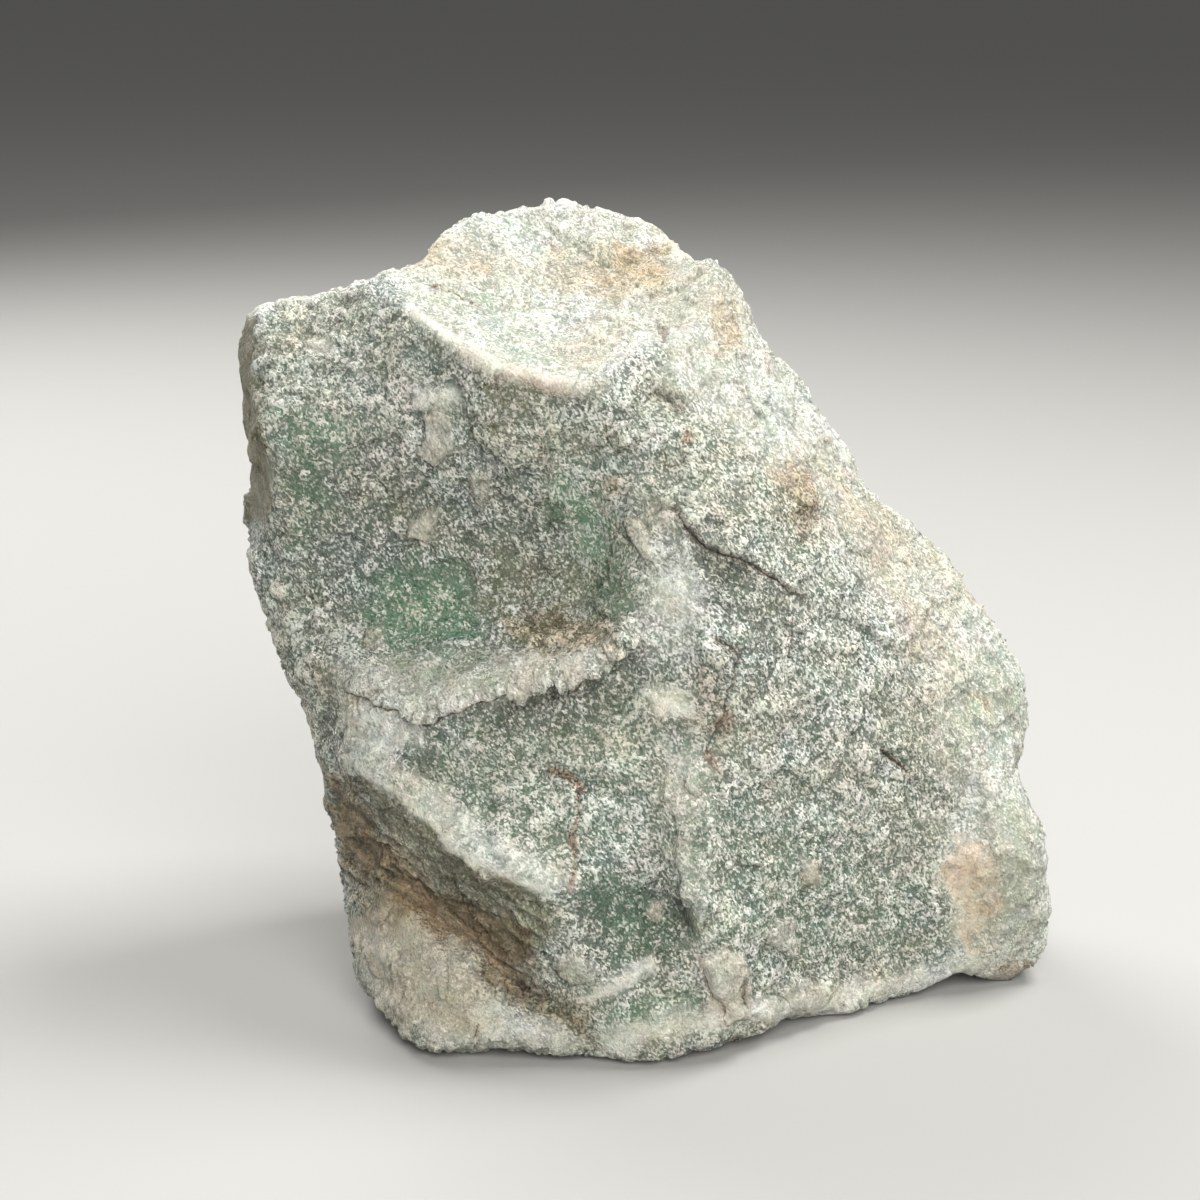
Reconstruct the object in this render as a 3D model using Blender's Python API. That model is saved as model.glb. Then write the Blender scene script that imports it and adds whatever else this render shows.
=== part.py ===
"""Raw aventurine: one broken lump of green quartzite that stands on its flat underside.

The front is laid out as a drawing, seen by someone who looks slightly down on the stone. Each corner
of a fracture face has its place across and up the drawing, and how far it stands out towards the
viewer. The back, the sides and the underside are laid out in plain x, y and z. Front and back meet
along the outline. Lengths here are in millimetres until the mesh is made.
"""

import math

import bmesh
import bpy
from mathutils import Vector, geometry, noise

METRES_PER_MM = 0.001

# The drawing: how far the viewer looks down, how far away that eye is, and where the drawing's middle is
VIEW_DROP = math.radians(15)
VIEW_DISTANCE = 520.0
DRAWING_MIDDLE = Vector((-9.9, -5.1, 80.0))

# Surface: size of the cells that even the faces out, and how many triangles are kept
CELL = 1.7
TRIANGLES = 8000

# Relief that is left by breaking: (grain of the relief, its height)
SWELL = (34.0, 1.6)
LUMPS = (11.0, 0.9)
FRONT_CHIPS = (9.0, 0.8)
BACK_CHIPS = (24.0, 3.4)
BACK_SPALLS = (9.0, 1.5)

# Outline, clockwise from the upper left corner: (across, up, out)
TOP_EDGE = [
    (-72.0, 50.0, -6.0), (-71.5, 55.0, -2.0), (-70.0, 58.5, 3.0), (-67.5, 59.5, 6.0),
    (-60.0, 61.0, 8.0), (-51.0, 64.0, 10.0), (-45.5, 65.0, 12.0), (-39.0, 66.0, 6.0),
]
CROWN = [
    (-34.5, 70.0, 0.0), (-32.0, 73.0, -4.0), (-29.0, 75.5, -7.0), (-24.5, 77.5, -10.0),
    (-18.0, 79.0, -14.0), (-9.0, 80.5, -18.0), (-2.0, 80.0, -18.0), (2.0, 78.0, -17.0),
    (7.0, 77.0, -16.0), (11.0, 75.0, -14.0), (14.5, 72.0, -11.0), (17.5, 69.0, -8.0),
]
PEAK = [(19.5, 68.5, -3.0), (21.5, 69.0, 1.0), (23.5, 68.5, 2.0), (26.0, 65.5, 1.0)]
RIGHT_SHOULDER = [
    (29.0, 60.0, 0.0), (33.0, 52.0, -1.0), (35.0, 48.5, -2.0), (37.0, 47.0, -3.0),
    (43.0, 39.5, -5.0), (48.0, 32.5, -6.0), (51.5, 26.5, -7.0), (52.0, 23.5, -7.0),
]
RIGHT_SIDE = [
    (54.0, 22.0, -8.0), (58.5, 18.5, -9.0), (66.0, 11.0, -12.0), (70.0, 7.0, -12.0),
    (73.5, 3.0, -13.0), (75.0, 0.0, -13.0), (77.0, -2.5, -14.0), (80.5, -6.0, -15.0),
    (83.0, -11.0, -16.0), (84.5, -16.0, -17.0), (85.5, -21.0, -18.0), (85.5, -26.0, -17.0),
    (84.5, -30.0, -16.0), (83.5, -33.0, -15.0), (83.7, -36.5, -14.0), (86.0, -41.0, -13.0),
    (88.5, -45.0, -12.0), (89.5, -50.0, -12.0), (89.0, -56.0, -13.0), (90.0, -69.0, -14.0),
]
RIGHT_FOOT = [
    (89.0, -73.0, -15.0), (87.0, -75.0, -16.0), (83.0, -76.0, -15.5), (80.0, -76.5, -15.0),
    (77.0, -75.5, -12.0), (74.0, -74.5, -9.0), (71.0, -75.0, -8.0), (67.0, -77.0, -7.0),
]
FRONT_EDGE = [
    (61.0, -79.0, -4.0), (56.0, -80.5, -2.0), (51.0, -82.5, 3.0), (44.0, -82.5, 5.0),
    (39.0, -84.0, 9.0), (34.0, -86.5, 14.0), (28.0, -88.5, 19.0), (22.0, -90.0, 22.0),
    (9.0, -92.0, 26.0), (-2.0, -90.5, 23.0), (-16.0, -90.0, 22.0), (-19.0, -91.0, 24.0),
    (-32.0, -91.0, 24.0), (-36.0, -90.0, 22.0), (-40.0, -87.0, 17.0), (-43.0, -84.0, 11.0),
]
LEFT_SIDE = [
    (-46.0, -80.0, 6.0), (-48.5, -75.0, 1.0), (-50.0, -69.0, -3.0), (-51.0, -64.0, -6.0),
    (-51.0, -56.0, -9.0), (-53.0, -47.0, -4.0), (-55.5, -36.0, 3.0), (-57.5, -28.0, 7.0),
    (-60.0, -20.0, 8.0), (-64.0, -13.0, 8.0), (-66.5, -5.0, 6.0), (-68.5, 3.0, 4.0),
    (-71.0, 10.5, 0.0), (-71.0, 14.0, -2.0), (-70.0, 22.0, -5.0), (-69.5, 30.0, -5.0),
    (-71.0, 40.0, -7.0),
]
OUTLINE = (
    TOP_EDGE + CROWN + PEAK + RIGHT_SHOULDER + RIGHT_SIDE + RIGHT_FOOT + FRONT_EDGE + LEFT_SIDE
)

# Ridges, valleys and ledges of the front, each a line of corners: (across, up, out)
LEFT_CORNER = [
    (-68.8, 57.0, 11.0), (-69.0, 49.0, 16.0), (-70.0, 42.0, 16.0), (-68.5, 39.0, 18.0),
    (-69.0, 33.5, 18.0), (-67.0, 30.5, 19.0), (-65.0, 27.0, 20.0), (-65.0, 22.0, 18.0),
    (-66.5, 16.5, 14.0), (-69.0, 11.0, 6.0),
]
SHARP_RIDGE = [
    (-44.0, 63.0, 15.0), (-42.0, 60.5, 18.0), (-38.5, 58.0, 21.0), (-33.5, 54.5, 24.5),
    (-30.0, 52.0, 27.0), (-24.5, 49.5, 30.0), (-22.5, 47.5, 31.0), (-18.0, 45.0, 33.0),
    (-11.5, 43.5, 34.0), (-5.5, 42.5, 34.0), (1.0, 43.0, 32.0), (4.0, 48.0, 27.0), (11.0, 50.0, 23.0),
]
BOWL_CREVICE = [(-36.0, 63.5, 7.0), (-27.0, 60.5, 9.0), (-22.5, 58.0, 10.0), (-15.0, 54.0, 13.0)]
PEAK_RIDGE = [
    (22.8, 66.0, 5.5), (23.2, 63.5, 9.0), (22.5, 60.0, 13.0), (18.0, 54.0, 19.0), (11.0, 50.0, 23.0),
]
BLOCK_STEP = [(-24.0, 46.5, 28.0), (-26.0, 39.5, 26.5), (-24.0, 33.5, 26.0), (-22.5, 29.0, 25.0)]
BLOCK_CORNER = [(-21.5, 44.5, 31.5), (-22.5, 39.0, 30.5), (-20.5, 33.0, 29.0), (-19.5, 29.0, 27.0)]
HOLLOW_RIGHT = [(8.0, 25.0, 29.0), (7.0, 14.0, 28.5), (5.5, 4.0, 29.0), (5.0, -3.0, 28.5)]
LEDGE_LIP = [
    (-53.5, -15.0, 16.5), (-51.0, -18.0, 20.5), (-46.0, -20.0, 23.5), (-40.0, -23.0, 26.0),
    (-34.0, -24.5, 28.5), (-31.0, -22.5, 29.5), (-26.0, -21.0, 30.5), (-21.0, -19.5, 31.0),
    (-19.0, -18.0, 31.5), (-14.0, -18.0, 31.5), (-11.0, -16.0, 32.0), (-7.0, -16.0, 32.0),
    (-3.0, -17.0, 32.5), (-1.5, -13.0, 32.5), (4.0, -10.0, 32.5), (7.0, -8.5, 32.0),
]
LEDGE_FOOT = [
    (-53.5, -16.0, 15.5), (-51.0, -19.0, 19.0), (-46.0, -21.2, 22.0), (-40.0, -24.2, 24.0),
    (-34.0, -25.7, 25.0), (-30.7, -23.7, 25.0), (-26.0, -22.2, 25.0), (-21.0, -20.7, 25.5),
    (-18.7, -19.2, 25.5), (-13.8, -19.2, 26.0), (-10.8, -17.2, 26.0), (-7.3, -17.2, 26.5),
    (-2.2, -18.2, 26.5), (-0.6, -13.8, 27.0), (4.2, -11.2, 28.0), (7.5, -10.0, 29.5),
]
TRENCH_RIDGE = [
    (-55.0, -33.5, 8.0), (-50.5, -31.5, 20.0), (-46.0, -35.0, 23.5), (-41.5, -38.0, 26.0),
    (-35.0, -43.0, 28.5), (-29.0, -49.5, 31.0), (-20.0, -54.0, 33.0), (-14.0, -57.0, 34.0),
    (-10.5, -58.5, 33.5), (-9.0, -64.0, 31.5), (-9.5, -69.0, 29.5),
]
TRENCH_SHOULDER = [
    (-49.0, -36.0, 15.0), (-44.0, -41.0, 17.0), (-38.0, -46.5, 18.5), (-31.0, -53.0, 20.5),
    (-23.0, -58.0, 23.0), (-15.5, -61.5, 26.0),
]
LEFT_PIT = [(-52.0, -41.0, 2.0), (-47.5, -47.0, 4.0), (-44.5, -53.0, 5.0), (-45.5, -59.0, 5.0)]
TRENCH_VALLEY = [
    (-35.5, -56.0, 7.0), (-31.0, -62.0, 8.5), (-25.5, -67.5, 11.0), (-19.0, -74.0, 14.5),
    (-14.5, -79.0, 17.0), (-8.5, -83.5, 21.0), (-3.0, -87.0, 23.0),
]
LOBE_CREST = [
    (-38.5, -51.5, 12.5), (-40.0, -59.0, 14.0), (-38.0, -64.0, 15.5), (-31.0, -69.0, 18.5),
    (-25.0, -75.0, 22.0), (-18.0, -82.0, 26.0), (-14.0, -86.5, 26.5),
]
SLAB_EDGE = [
    (16.0, -36.0, 31.0), (14.6, -42.0, 31.5), (14.8, -49.0, 31.5), (15.8, -53.0, 32.0),
    (17.2, -60.0, 32.0), (20.6, -69.0, 30.0),
]
SLAB_FOOT = [
    (15.0, -36.3, 30.0), (13.4, -42.0, 29.0), (13.4, -49.0, 28.5), (14.4, -53.2, 27.0),
    (15.8, -60.4, 26.0), (19.3, -69.6, 26.5),
]
SEAM = [(27.5, -10.5, 31.0), (24.5, -24.0, 31.0), (22.5, -33.5, 30.5), (20.5, -40.0, 30.5)]
CRACK_LIP = [(16.0, 17.0, 31.0), (20.0, 11.5, 33.0), (27.0, 8.3, 31.0), (33.0, 5.3, 28.0), (40.0, 1.8, 23.5)]
CRACK_FOOT = [(19.8, 9.8, 30.0), (26.8, 6.8, 28.0), (32.8, 3.9, 25.5)]
RIGHT_GROOVE = [(77.0, -43.0, -3.0), (77.5, -50.0, -2.0), (78.5, -58.0, -3.0), (80.5, -66.0, -7.0)]
BULGE_CREST = [(82.5, -39.0, -7.0), (85.5, -45.0, -5.0), (86.0, -51.0, -5.0), (84.5, -59.0, -5.0)]
FRONT_LINES = [
    LEFT_CORNER, SHARP_RIDGE, BOWL_CREVICE, PEAK_RIDGE, BLOCK_STEP, BLOCK_CORNER,
    HOLLOW_RIGHT, LEDGE_LIP, LEDGE_FOOT, TRENCH_RIDGE, TRENCH_SHOULDER, LEFT_PIT, TRENCH_VALLEY,
    LOBE_CREST, SLAB_EDGE, SLAB_FOOT, SEAM, CRACK_LIP, CRACK_FOOT, RIGHT_GROOVE, BULGE_CREST,
]

# Single corners of the front: (across, up, out)
BOWL = [
    (-8.0, 54.0, 10.0), (-24.0, 68.0, -1.0), (-8.0, 66.0, -6.0), (4.0, 58.0, 4.0),
    (6.0, 68.0, -9.0), (12.0, 60.0, 3.5), (12.0, 53.5, 14.0), (15.5, 66.0, -3.0), (17.0, 58.5, 9.0),
]
UPPER_LEFT = [(-56.0, 50.0, 17.5), (-45.0, 52.0, 20.0), (-35.0, 47.0, 25.0)]
UPPER_RIGHT = [
    (-17.0, 38.0, 31.5), (-8.0, 37.0, 31.5), (3.0, 36.0, 30.0), (12.0, 41.0, 24.5), (17.5, 31.5, 28.0),
    (26.0, 50.0, 15.0), (30.0, 40.0, 16.0), (39.0, 34.0, 9.0), (25.0, 24.0, 27.0), (35.0, 20.0, 22.0),
    (45.0, 20.0, 11.0), (28.0, 33.0, 21.0),
]
HOLLOW = [
    (-62.0, 37.0, 20.0), (-51.0, 39.0, 21.5), (-39.0, 40.0, 23.5), (-30.0, 38.0, 24.5),
    (-59.0, 27.0, 18.0), (-47.0, 29.0, 18.5), (-35.0, 28.0, 20.0), (-28.0, 24.0, 20.0),
    (-62.0, 17.0, 14.0), (-52.0, 17.0, 14.5), (-40.0, 17.0, 15.0), (-27.0, 15.0, 16.0),
    (-16.0, 22.0, 21.5), (-13.0, 30.0, 27.0), (-4.0, 31.0, 27.5), (-7.0, 23.0, 23.5), (2.0, 24.0, 26.0),
    (-17.0, 13.0, 16.5), (-7.0, 14.0, 18.5), (1.0, 14.0, 22.0),
    (-63.0, 5.0, 10.5), (-54.0, 7.0, 11.5), (-43.0, 6.0, 12.0), (-32.0, 5.0, 12.5), (-21.0, 5.0, 13.5),
    (-10.0, 5.0, 15.5), (-1.0, 5.0, 19.5),
    (-61.0, -4.0, 10.5), (-51.0, -4.0, 12.5), (-40.0, -4.0, 13.5), (-29.0, -4.5, 14.5),
    (-18.0, -4.0, 16.0), (-8.0, -3.0, 18.0), (0.0, -3.0, 22.0),
    (-55.0, -10.5, 14.5), (-44.0, -12.0, 18.5), (-34.0, -13.0, 20.5), (-23.0, -11.0, 21.5),
    (-12.0, -9.0, 22.5), (-4.0, -9.0, 25.5), (-34.0, -19.0, 25.0), (-22.0, -15.5, 26.5),
]
MIDDLE = [
    (13.0, 1.0, 31.0), (20.0, -4.0, 31.5), (11.0, -9.0, 31.0), (-46.0, -27.0, 21.5), (-34.0, -33.0, 25.5),
    (-18.0, -32.0, 27.0), (0.0, -28.0, 28.0), (-20.0, -45.0, 29.5), (-2.0, -45.0, 30.0),
    (8.0, -38.0, 29.5), (16.0, -22.0, 30.0), (4.0, -55.0, 30.0),
]
LOWER_LEFT = [(-47.0, -60.0, 4.0), (-44.0, -67.0, 9.0), (-41.0, -75.0, 13.0), (-33.0, -83.0, 21.5)]
LOWER_MIDDLE = [
    (-4.0, -70.0, 28.5), (1.5, -61.0, 28.5), (8.0, -60.0, 24.5), (14.0, -63.5, 24.0), (8.0, -68.0, 26.0),
    (3.0, -78.0, 28.0), (13.0, -74.0, 27.0), (8.0, -84.5, 27.5), (21.0, -72.5, 29.0), (26.0, -84.0, 23.0),
]
RIGHT_FACE = [
    (30.0, -45.0, 25.0), (30.0, -62.0, 23.5), (32.0, -20.0, 27.0), (40.0, -10.0, 22.0),
    (42.0, -35.0, 18.5), (42.0, -58.0, 14.0), (40.0, -74.0, 11.0), (50.0, -20.0, 15.5),
    (50.0, 0.0, 14.0), (52.0, 12.0, 6.0), (60.0, -5.0, 7.0), (60.0, -25.0, 8.5), (58.0, -45.0, 5.5),
    (58.0, -65.0, 0.5), (70.0, -12.0, 0.0), (71.0, -30.0, 1.0), (70.0, -48.0, -0.5), (70.0, -64.0, -4.0),
    (79.0, -20.0, -6.0), (78.0, -32.0, -5.0),
]
FRONT_CORNERS = (
    BOWL + UPPER_LEFT + UPPER_RIGHT + HOLLOW + MIDDLE + LOWER_LEFT + LOWER_MIDDLE + RIGHT_FACE
)

# Corners of the back, the sides and the underside: (x, y, z) from the drawing's middle on the floor
BACK_TOP = [
    (-62.0, 28.0, 128.0), (-50.0, 36.0, 129.0), (-34.0, 44.0, 134.0), (-9.0, 49.0, 145.0),
    (14.0, 46.0, 134.0), (30.0, 34.0, 122.0), (41.0, 38.0, 104.0),
]
BACK_SIDES = [
    (-68.0, 32.0, 100.0), (-65.0, 38.0, 84.0), (-60.0, 36.0, 60.0), (-50.0, 42.0, 38.0),
    (-50.0, 30.0, 14.0), (62.0, 38.0, 80.0), (74.0, 30.0, 64.0), (82.0, 32.0, 40.0), (85.0, 28.0, 12.0),
]
BACK_FACE = [
    (-40.0, 50.0, 108.0), (-30.0, 45.0, 80.0), (-12.0, 54.0, 112.0), (-8.0, 51.0, 84.0),
    (14.0, 53.0, 96.0), (20.0, 56.0, 70.0), (38.0, 50.0, 76.0), (-34.0, 46.0, 48.0), (-8.0, 47.0, 46.0),
    (14.0, 56.0, 40.0), (44.0, 53.0, 44.0), (66.0, 42.0, 46.0), (-30.0, 40.0, 18.0), (0.0, 44.0, 14.0),
    (30.0, 52.0, 14.0), (62.0, 44.0, 16.0),
]
UNDERSIDE = [
    (-44.0, 28.0, -5.0), (-20.0, 38.0, -5.0), (10.0, 44.0, -5.0), (40.0, 47.0, -5.0),
    (66.0, 38.0, -5.0), (83.0, 24.0, -4.0), (80.0, 9.0, -3.0), (64.0, 3.0, -3.5), (42.0, -9.0, -3.5),
    (24.0, -24.0, -3.0), (8.0, -30.0, -3.0), (-12.0, -29.0, -3.0), (-30.0, -26.0, -3.0),
    (-40.0, -9.0, -3.0), (-46.0, 6.0, -3.0), (-10.0, 5.0, -6.0), (30.0, 20.0, -6.0),
]
BACK_CORNERS = BACK_TOP + BACK_SIDES + BACK_FACE + UNDERSIDE

ACROSS = Vector((1.0, 0.0, 0.0))
UP = Vector((0.0, math.sin(VIEW_DROP), math.cos(VIEW_DROP)))
OUT = Vector((0.0, -math.cos(VIEW_DROP), math.sin(VIEW_DROP)))


def clear_scene():
    for obj in list(bpy.data.objects):
        bpy.data.objects.remove(obj)


def drawn(corner):
    """The place in space of a corner of the drawing."""
    across, up, out = corner
    nearer = 1.0 - out / VIEW_DISTANCE
    return DRAWING_MIDDLE + (ACROSS * across + UP * up) * nearer + OUT * out


def solid_corner(corner):
    """The place in space of a corner of the back."""
    x, y, z = corner
    return Vector((DRAWING_MIDDLE.x + x, DRAWING_MIDDLE.y + y, z))


def seen(point):
    """Where the viewer sees a point: (across, up) on the drawing."""
    offset = point - DRAWING_MIDDLE
    nearer = 1.0 - offset.dot(OUT) / VIEW_DISTANCE
    return Vector((offset.dot(ACROSS) / nearer, offset.dot(UP) / nearer))


def triangles_of(flat, lines):
    """Triangles over points of the drawing. The first line is the closed outline."""
    edges = []
    for line in lines:
        edges += zip(line, line[1:])
    places, _, faces, sources, _, _ = geometry.delaunay_2d_cdt(flat, edges, [], 1, 1e-4)
    crossings = [place.to_tuple(1) for place, source in zip(places, sources) if len(source) != 1]
    if crossings:
        raise ValueError(f"lines of the drawing cross or corners meet at {crossings}")
    return [[sources[i][0] for i in face] for face in faces]


def add_sheet(mesh, rim, points, lines, facing_viewer):
    """Joins one side's corners and the shared outline into faces."""
    verts = rim + [mesh.verts.new(point * METRES_PER_MM) for point in points]
    flat = [seen(vert.co / METRES_PER_MM) for vert in verts]
    around = [*range(len(rim)), 0]
    for face in triangles_of(flat, [around, *lines]):
        order = face if facing_viewer else face[::-1]
        mesh.faces.new([verts[i] for i in order])


def front_of(rim_count):
    """The front's corners in space, and its lines as lists of their numbers after the outline's."""
    numbers = {}
    lines = []
    for line in FRONT_LINES:
        for corner in line:
            numbers.setdefault(corner, rim_count + len(numbers))
        lines.append([numbers[corner] for corner in line])
    for corner in FRONT_CORNERS:
        numbers.setdefault(corner, rim_count + len(numbers))
    return [drawn(corner) for corner in numbers], lines


def broken_block():
    """The stone's fracture faces as one closed mesh of flat facets."""
    mesh = bmesh.new()
    rim = [mesh.verts.new(drawn(corner) * METRES_PER_MM) for corner in OUTLINE]
    corners, lines = front_of(len(rim))
    add_sheet(mesh, rim, corners, lines, facing_viewer=True)
    add_sheet(mesh, rim, [solid_corner(corner) for corner in BACK_CORNERS], [], facing_viewer=False)
    bmesh.ops.recalc_face_normals(mesh, faces=mesh.faces)
    data = bpy.data.meshes.new("stone")
    mesh.to_mesh(data)
    mesh.free()
    stone = bpy.data.objects.new("stone", data)
    bpy.context.scene.collection.objects.link(stone)
    return stone


def apply_modifier(obj, kind, **settings):
    modifier = obj.modifiers.new(kind.title(), kind)
    for name, value in settings.items():
        setattr(modifier, name, value)
    bpy.context.view_layer.objects.active = obj
    bpy.ops.object.modifier_apply(modifier=modifier.name)


def swell(point, relief):
    """Soft relief: how far the surface stands out here."""
    grain, height = relief
    return noise.fractal(point / grain, 0.8, 2.0, 3) * height


def chips(point, relief):
    """Flat chips at odd slants, with a small step from each to the next."""
    grain, height = relief
    place = point / grain
    centre = noise.voronoi(place)[1][0]
    slant = noise.cell_vector(centre * 97.0) - Vector((0.5, 0.5, 0.5))
    return slant.dot(place - centre) * height


def roughen(obj):
    """Breaks up the flat facets, more at the back and sides than on the drawn front."""
    mesh = bmesh.new()
    mesh.from_mesh(obj.data)
    mesh.normal_update()
    moves = []
    for vert in mesh.verts:
        point = vert.co / METRES_PER_MM
        hidden = min(max(-0.1 - 1.6 * vert.normal.dot(OUT), 0.0), 1.0)
        height = swell(point, LUMPS) + chips(point, FRONT_CHIPS)
        height += hidden * (swell(point, SWELL) + chips(point, BACK_CHIPS) + chips(point, BACK_SPALLS))
        moves.append(vert.normal * height * METRES_PER_MM)
    for vert, move in zip(mesh.verts, moves):
        vert.co += move
    mesh.to_mesh(obj.data)
    mesh.free()


def drop_crumbs(mesh):
    """Removes any speck that the breaking left loose from the lump."""
    loose = set(mesh.verts)
    lumps = []
    while loose:
        reached = {loose.pop()}
        edge = list(reached)
        while edge:
            near = {link.other_vert(vert) for vert in edge for link in vert.link_edges}
            edge = list(near - reached)
            reached |= near
        loose -= reached
        lumps.append(reached)
    lumps.sort(key=len)
    bmesh.ops.delete(mesh, geom=[vert for lump in lumps[:-1] for vert in lump], context="VERTS")


def cut_underside(obj):
    """Cuts the stone flat at the floor, so that it stands."""
    mesh = bmesh.new()
    mesh.from_mesh(obj.data)
    everything = [*mesh.verts, *mesh.edges, *mesh.faces]
    bmesh.ops.bisect_plane(
        mesh, geom=everything, dist=1e-7, plane_co=(0, 0, 0), plane_no=(0, 0, 1), clear_inner=True
    )
    drop_crumbs(mesh)
    rim = [edge for edge in mesh.edges if edge.is_boundary]
    bmesh.ops.triangle_fill(mesh, edges=rim, use_beauty=True, normal=(0, 0, -1))
    bmesh.ops.recalc_face_normals(mesh, faces=mesh.faces)
    mesh.to_mesh(obj.data)
    mesh.free()


def quartzite():
    """Pale grey-green broken quartz, rough like sugar."""
    material = bpy.data.materials.new("broken green quartzite")
    material.use_nodes = True
    shader = material.node_tree.nodes["Principled BSDF"]
    shader.inputs["Base Color"].default_value = (0.40, 0.43, 0.35, 1.0)
    shader.inputs["Roughness"].default_value = 0.6
    shader.inputs["Metallic"].default_value = 0.0
    shader.inputs["IOR"].default_value = 1.54
    return material


def main():
    clear_scene()
    stone = broken_block()
    apply_modifier(stone, "REMESH", mode="VOXEL", voxel_size=CELL * METRES_PER_MM)
    roughen(stone)
    apply_modifier(stone, "REMESH", mode="VOXEL", voxel_size=CELL * METRES_PER_MM)
    share = TRIANGLES / (2 * len(stone.data.polygons))
    apply_modifier(stone, "DECIMATE", ratio=share)
    cut_underside(stone)
    stone.data.materials.append(quartzite())


main()
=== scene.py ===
"""The looks of a raw aventurine: one broken lump of green quartzite, standing on its flat foot.

A place on the lump's skin is given on a drawing of that side, in millimetres across and up from the
drawing's middle, as someone at that side sees it.
"""

import logging
import math
from collections.abc import Callable
from dataclasses import dataclass
from enum import Enum
from functools import partial

import bmesh
import bpy
import numpy as np
from mathutils import Matrix, Vector, noise


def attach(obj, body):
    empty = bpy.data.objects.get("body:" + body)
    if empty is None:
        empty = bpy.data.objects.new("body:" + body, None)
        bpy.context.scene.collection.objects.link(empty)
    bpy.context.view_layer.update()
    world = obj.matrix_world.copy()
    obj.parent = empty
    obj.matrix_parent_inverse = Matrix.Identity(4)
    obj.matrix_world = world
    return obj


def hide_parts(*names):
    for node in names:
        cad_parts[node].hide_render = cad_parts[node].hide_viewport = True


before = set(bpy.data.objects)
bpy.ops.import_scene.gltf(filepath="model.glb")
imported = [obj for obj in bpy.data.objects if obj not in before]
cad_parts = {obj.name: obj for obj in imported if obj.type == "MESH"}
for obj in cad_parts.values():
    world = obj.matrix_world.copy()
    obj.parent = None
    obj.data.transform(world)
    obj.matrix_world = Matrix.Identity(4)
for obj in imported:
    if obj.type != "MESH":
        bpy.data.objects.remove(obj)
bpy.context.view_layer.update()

MM = 0.001

log = logging.getLogger("aventurine")

# Corners of a line or an outline, in millimetres across and up a drawing
Places = tuple[tuple[float, float], ...]

# A drawing's marks fade out between these shares of facing its viewer, where the skin turns away
TURNED_AWAY = -0.1
WELL_SEEN = 0.2
# The share of an open line over which its mark fades at each end
TAPER = 0.12
# A seam's dark line, brown iron in cracks and painted shadow under ledges and chips, is full up to the first
# distance and gone at the second, in millimetres
DIRT_AND_SHADOW_FULL = 1.0
DIRT_AND_SHADOW_GONE = 2.0
# The straying of broken edges: the size in millimetres and the share of each unevenness
STRAYING = ((5.0, 1.0), (1.7, 0.5))
# A plate's seam gets painted shadow on its lower left, the side away from the light: the way there, and from
# which share of it to which
SHADED_WAY = (-0.6, -0.8)
SHADED_FROM = -0.1
SHADED_FULL = 0.7
# Sets the slants of neighbouring chips apart
CHIP_SPREAD = 97.0


def linear(code: str) -> tuple[float, float, float, float]:
    """Turns an sRGB hex colour into a linear one.

    Args:
        code: Six hex digits, such as "A8AF9E".

    Returns:
        Red, green, blue and an alpha of 1.
    """
    shares = [int(code[i:i + 2], 16) / 255 for i in (0, 2, 4)]
    red, green, blue = [s / 12.92 if s <= 0.04045 else ((s + 0.055) / 1.055) ** 2.4 for s in shares]
    return red, green, blue, 1.0


def ease(low: float, high: float, values: np.ndarray) -> np.ndarray:
    """Rises smoothly from 0 at low to 1 at high.

    Args:
        low: Where the rise starts.
        high: Where it ends.
        values: What is read.

    Returns:
        The share of the rise at each value.
    """
    share = np.clip((values - low) / (high - low), 0.0, 1.0)
    return share * share * (3.0 - 2.0 * share)


@dataclass(frozen=True)
class Drawing:
    """One side of the lump as a viewer there sees it, in millimetres and degrees."""

    turn: float = 0.0
    drop: float = 15.0
    distance: float = 520.0
    middle: tuple[float, float, float] = (-9.9, -5.1, 80.0)

    def axes(self) -> np.ndarray:
        """Works out the drawing's directions.

        Returns:
            Across, up and out towards the viewer, as the rows of a matrix.
        """
        turn, drop = math.radians(self.turn), math.radians(self.drop)
        across = np.array((math.cos(turn), math.sin(turn), 0.0))
        level = np.array((math.sin(turn), -math.cos(turn), 0.0))
        upright = np.array((0.0, 0.0, 1.0))
        up = upright * math.cos(drop) - level * math.sin(drop)
        out = level * math.cos(drop) + upright * math.sin(drop)
        return np.array((across, up, out))

    def seen(self, points: np.ndarray) -> np.ndarray:
        """Finds where the viewer sees points.

        Args:
            points: Places in space, one a row.

        Returns:
            Their places across and up the drawing.
        """
        across, up, out = ((points - np.array(self.middle)) @ self.axes().T).T
        nearer = 1.0 - out / self.distance
        return np.stack((across / nearer, up / nearer), axis=1)

    def facing(self, normals: np.ndarray) -> np.ndarray:
        """How much of each surface normal points at the viewer, from -1 to 1."""
        return normals @ self.axes()[2]


class Side(Enum):
    """The sides that marks and stains are drawn on."""

    FRONT = Drawing()
    RIGHT = Drawing(turn=90.0)
    BACK = Drawing(turn=180.0)
    LEFT = Drawing(turn=270.0)


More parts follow.
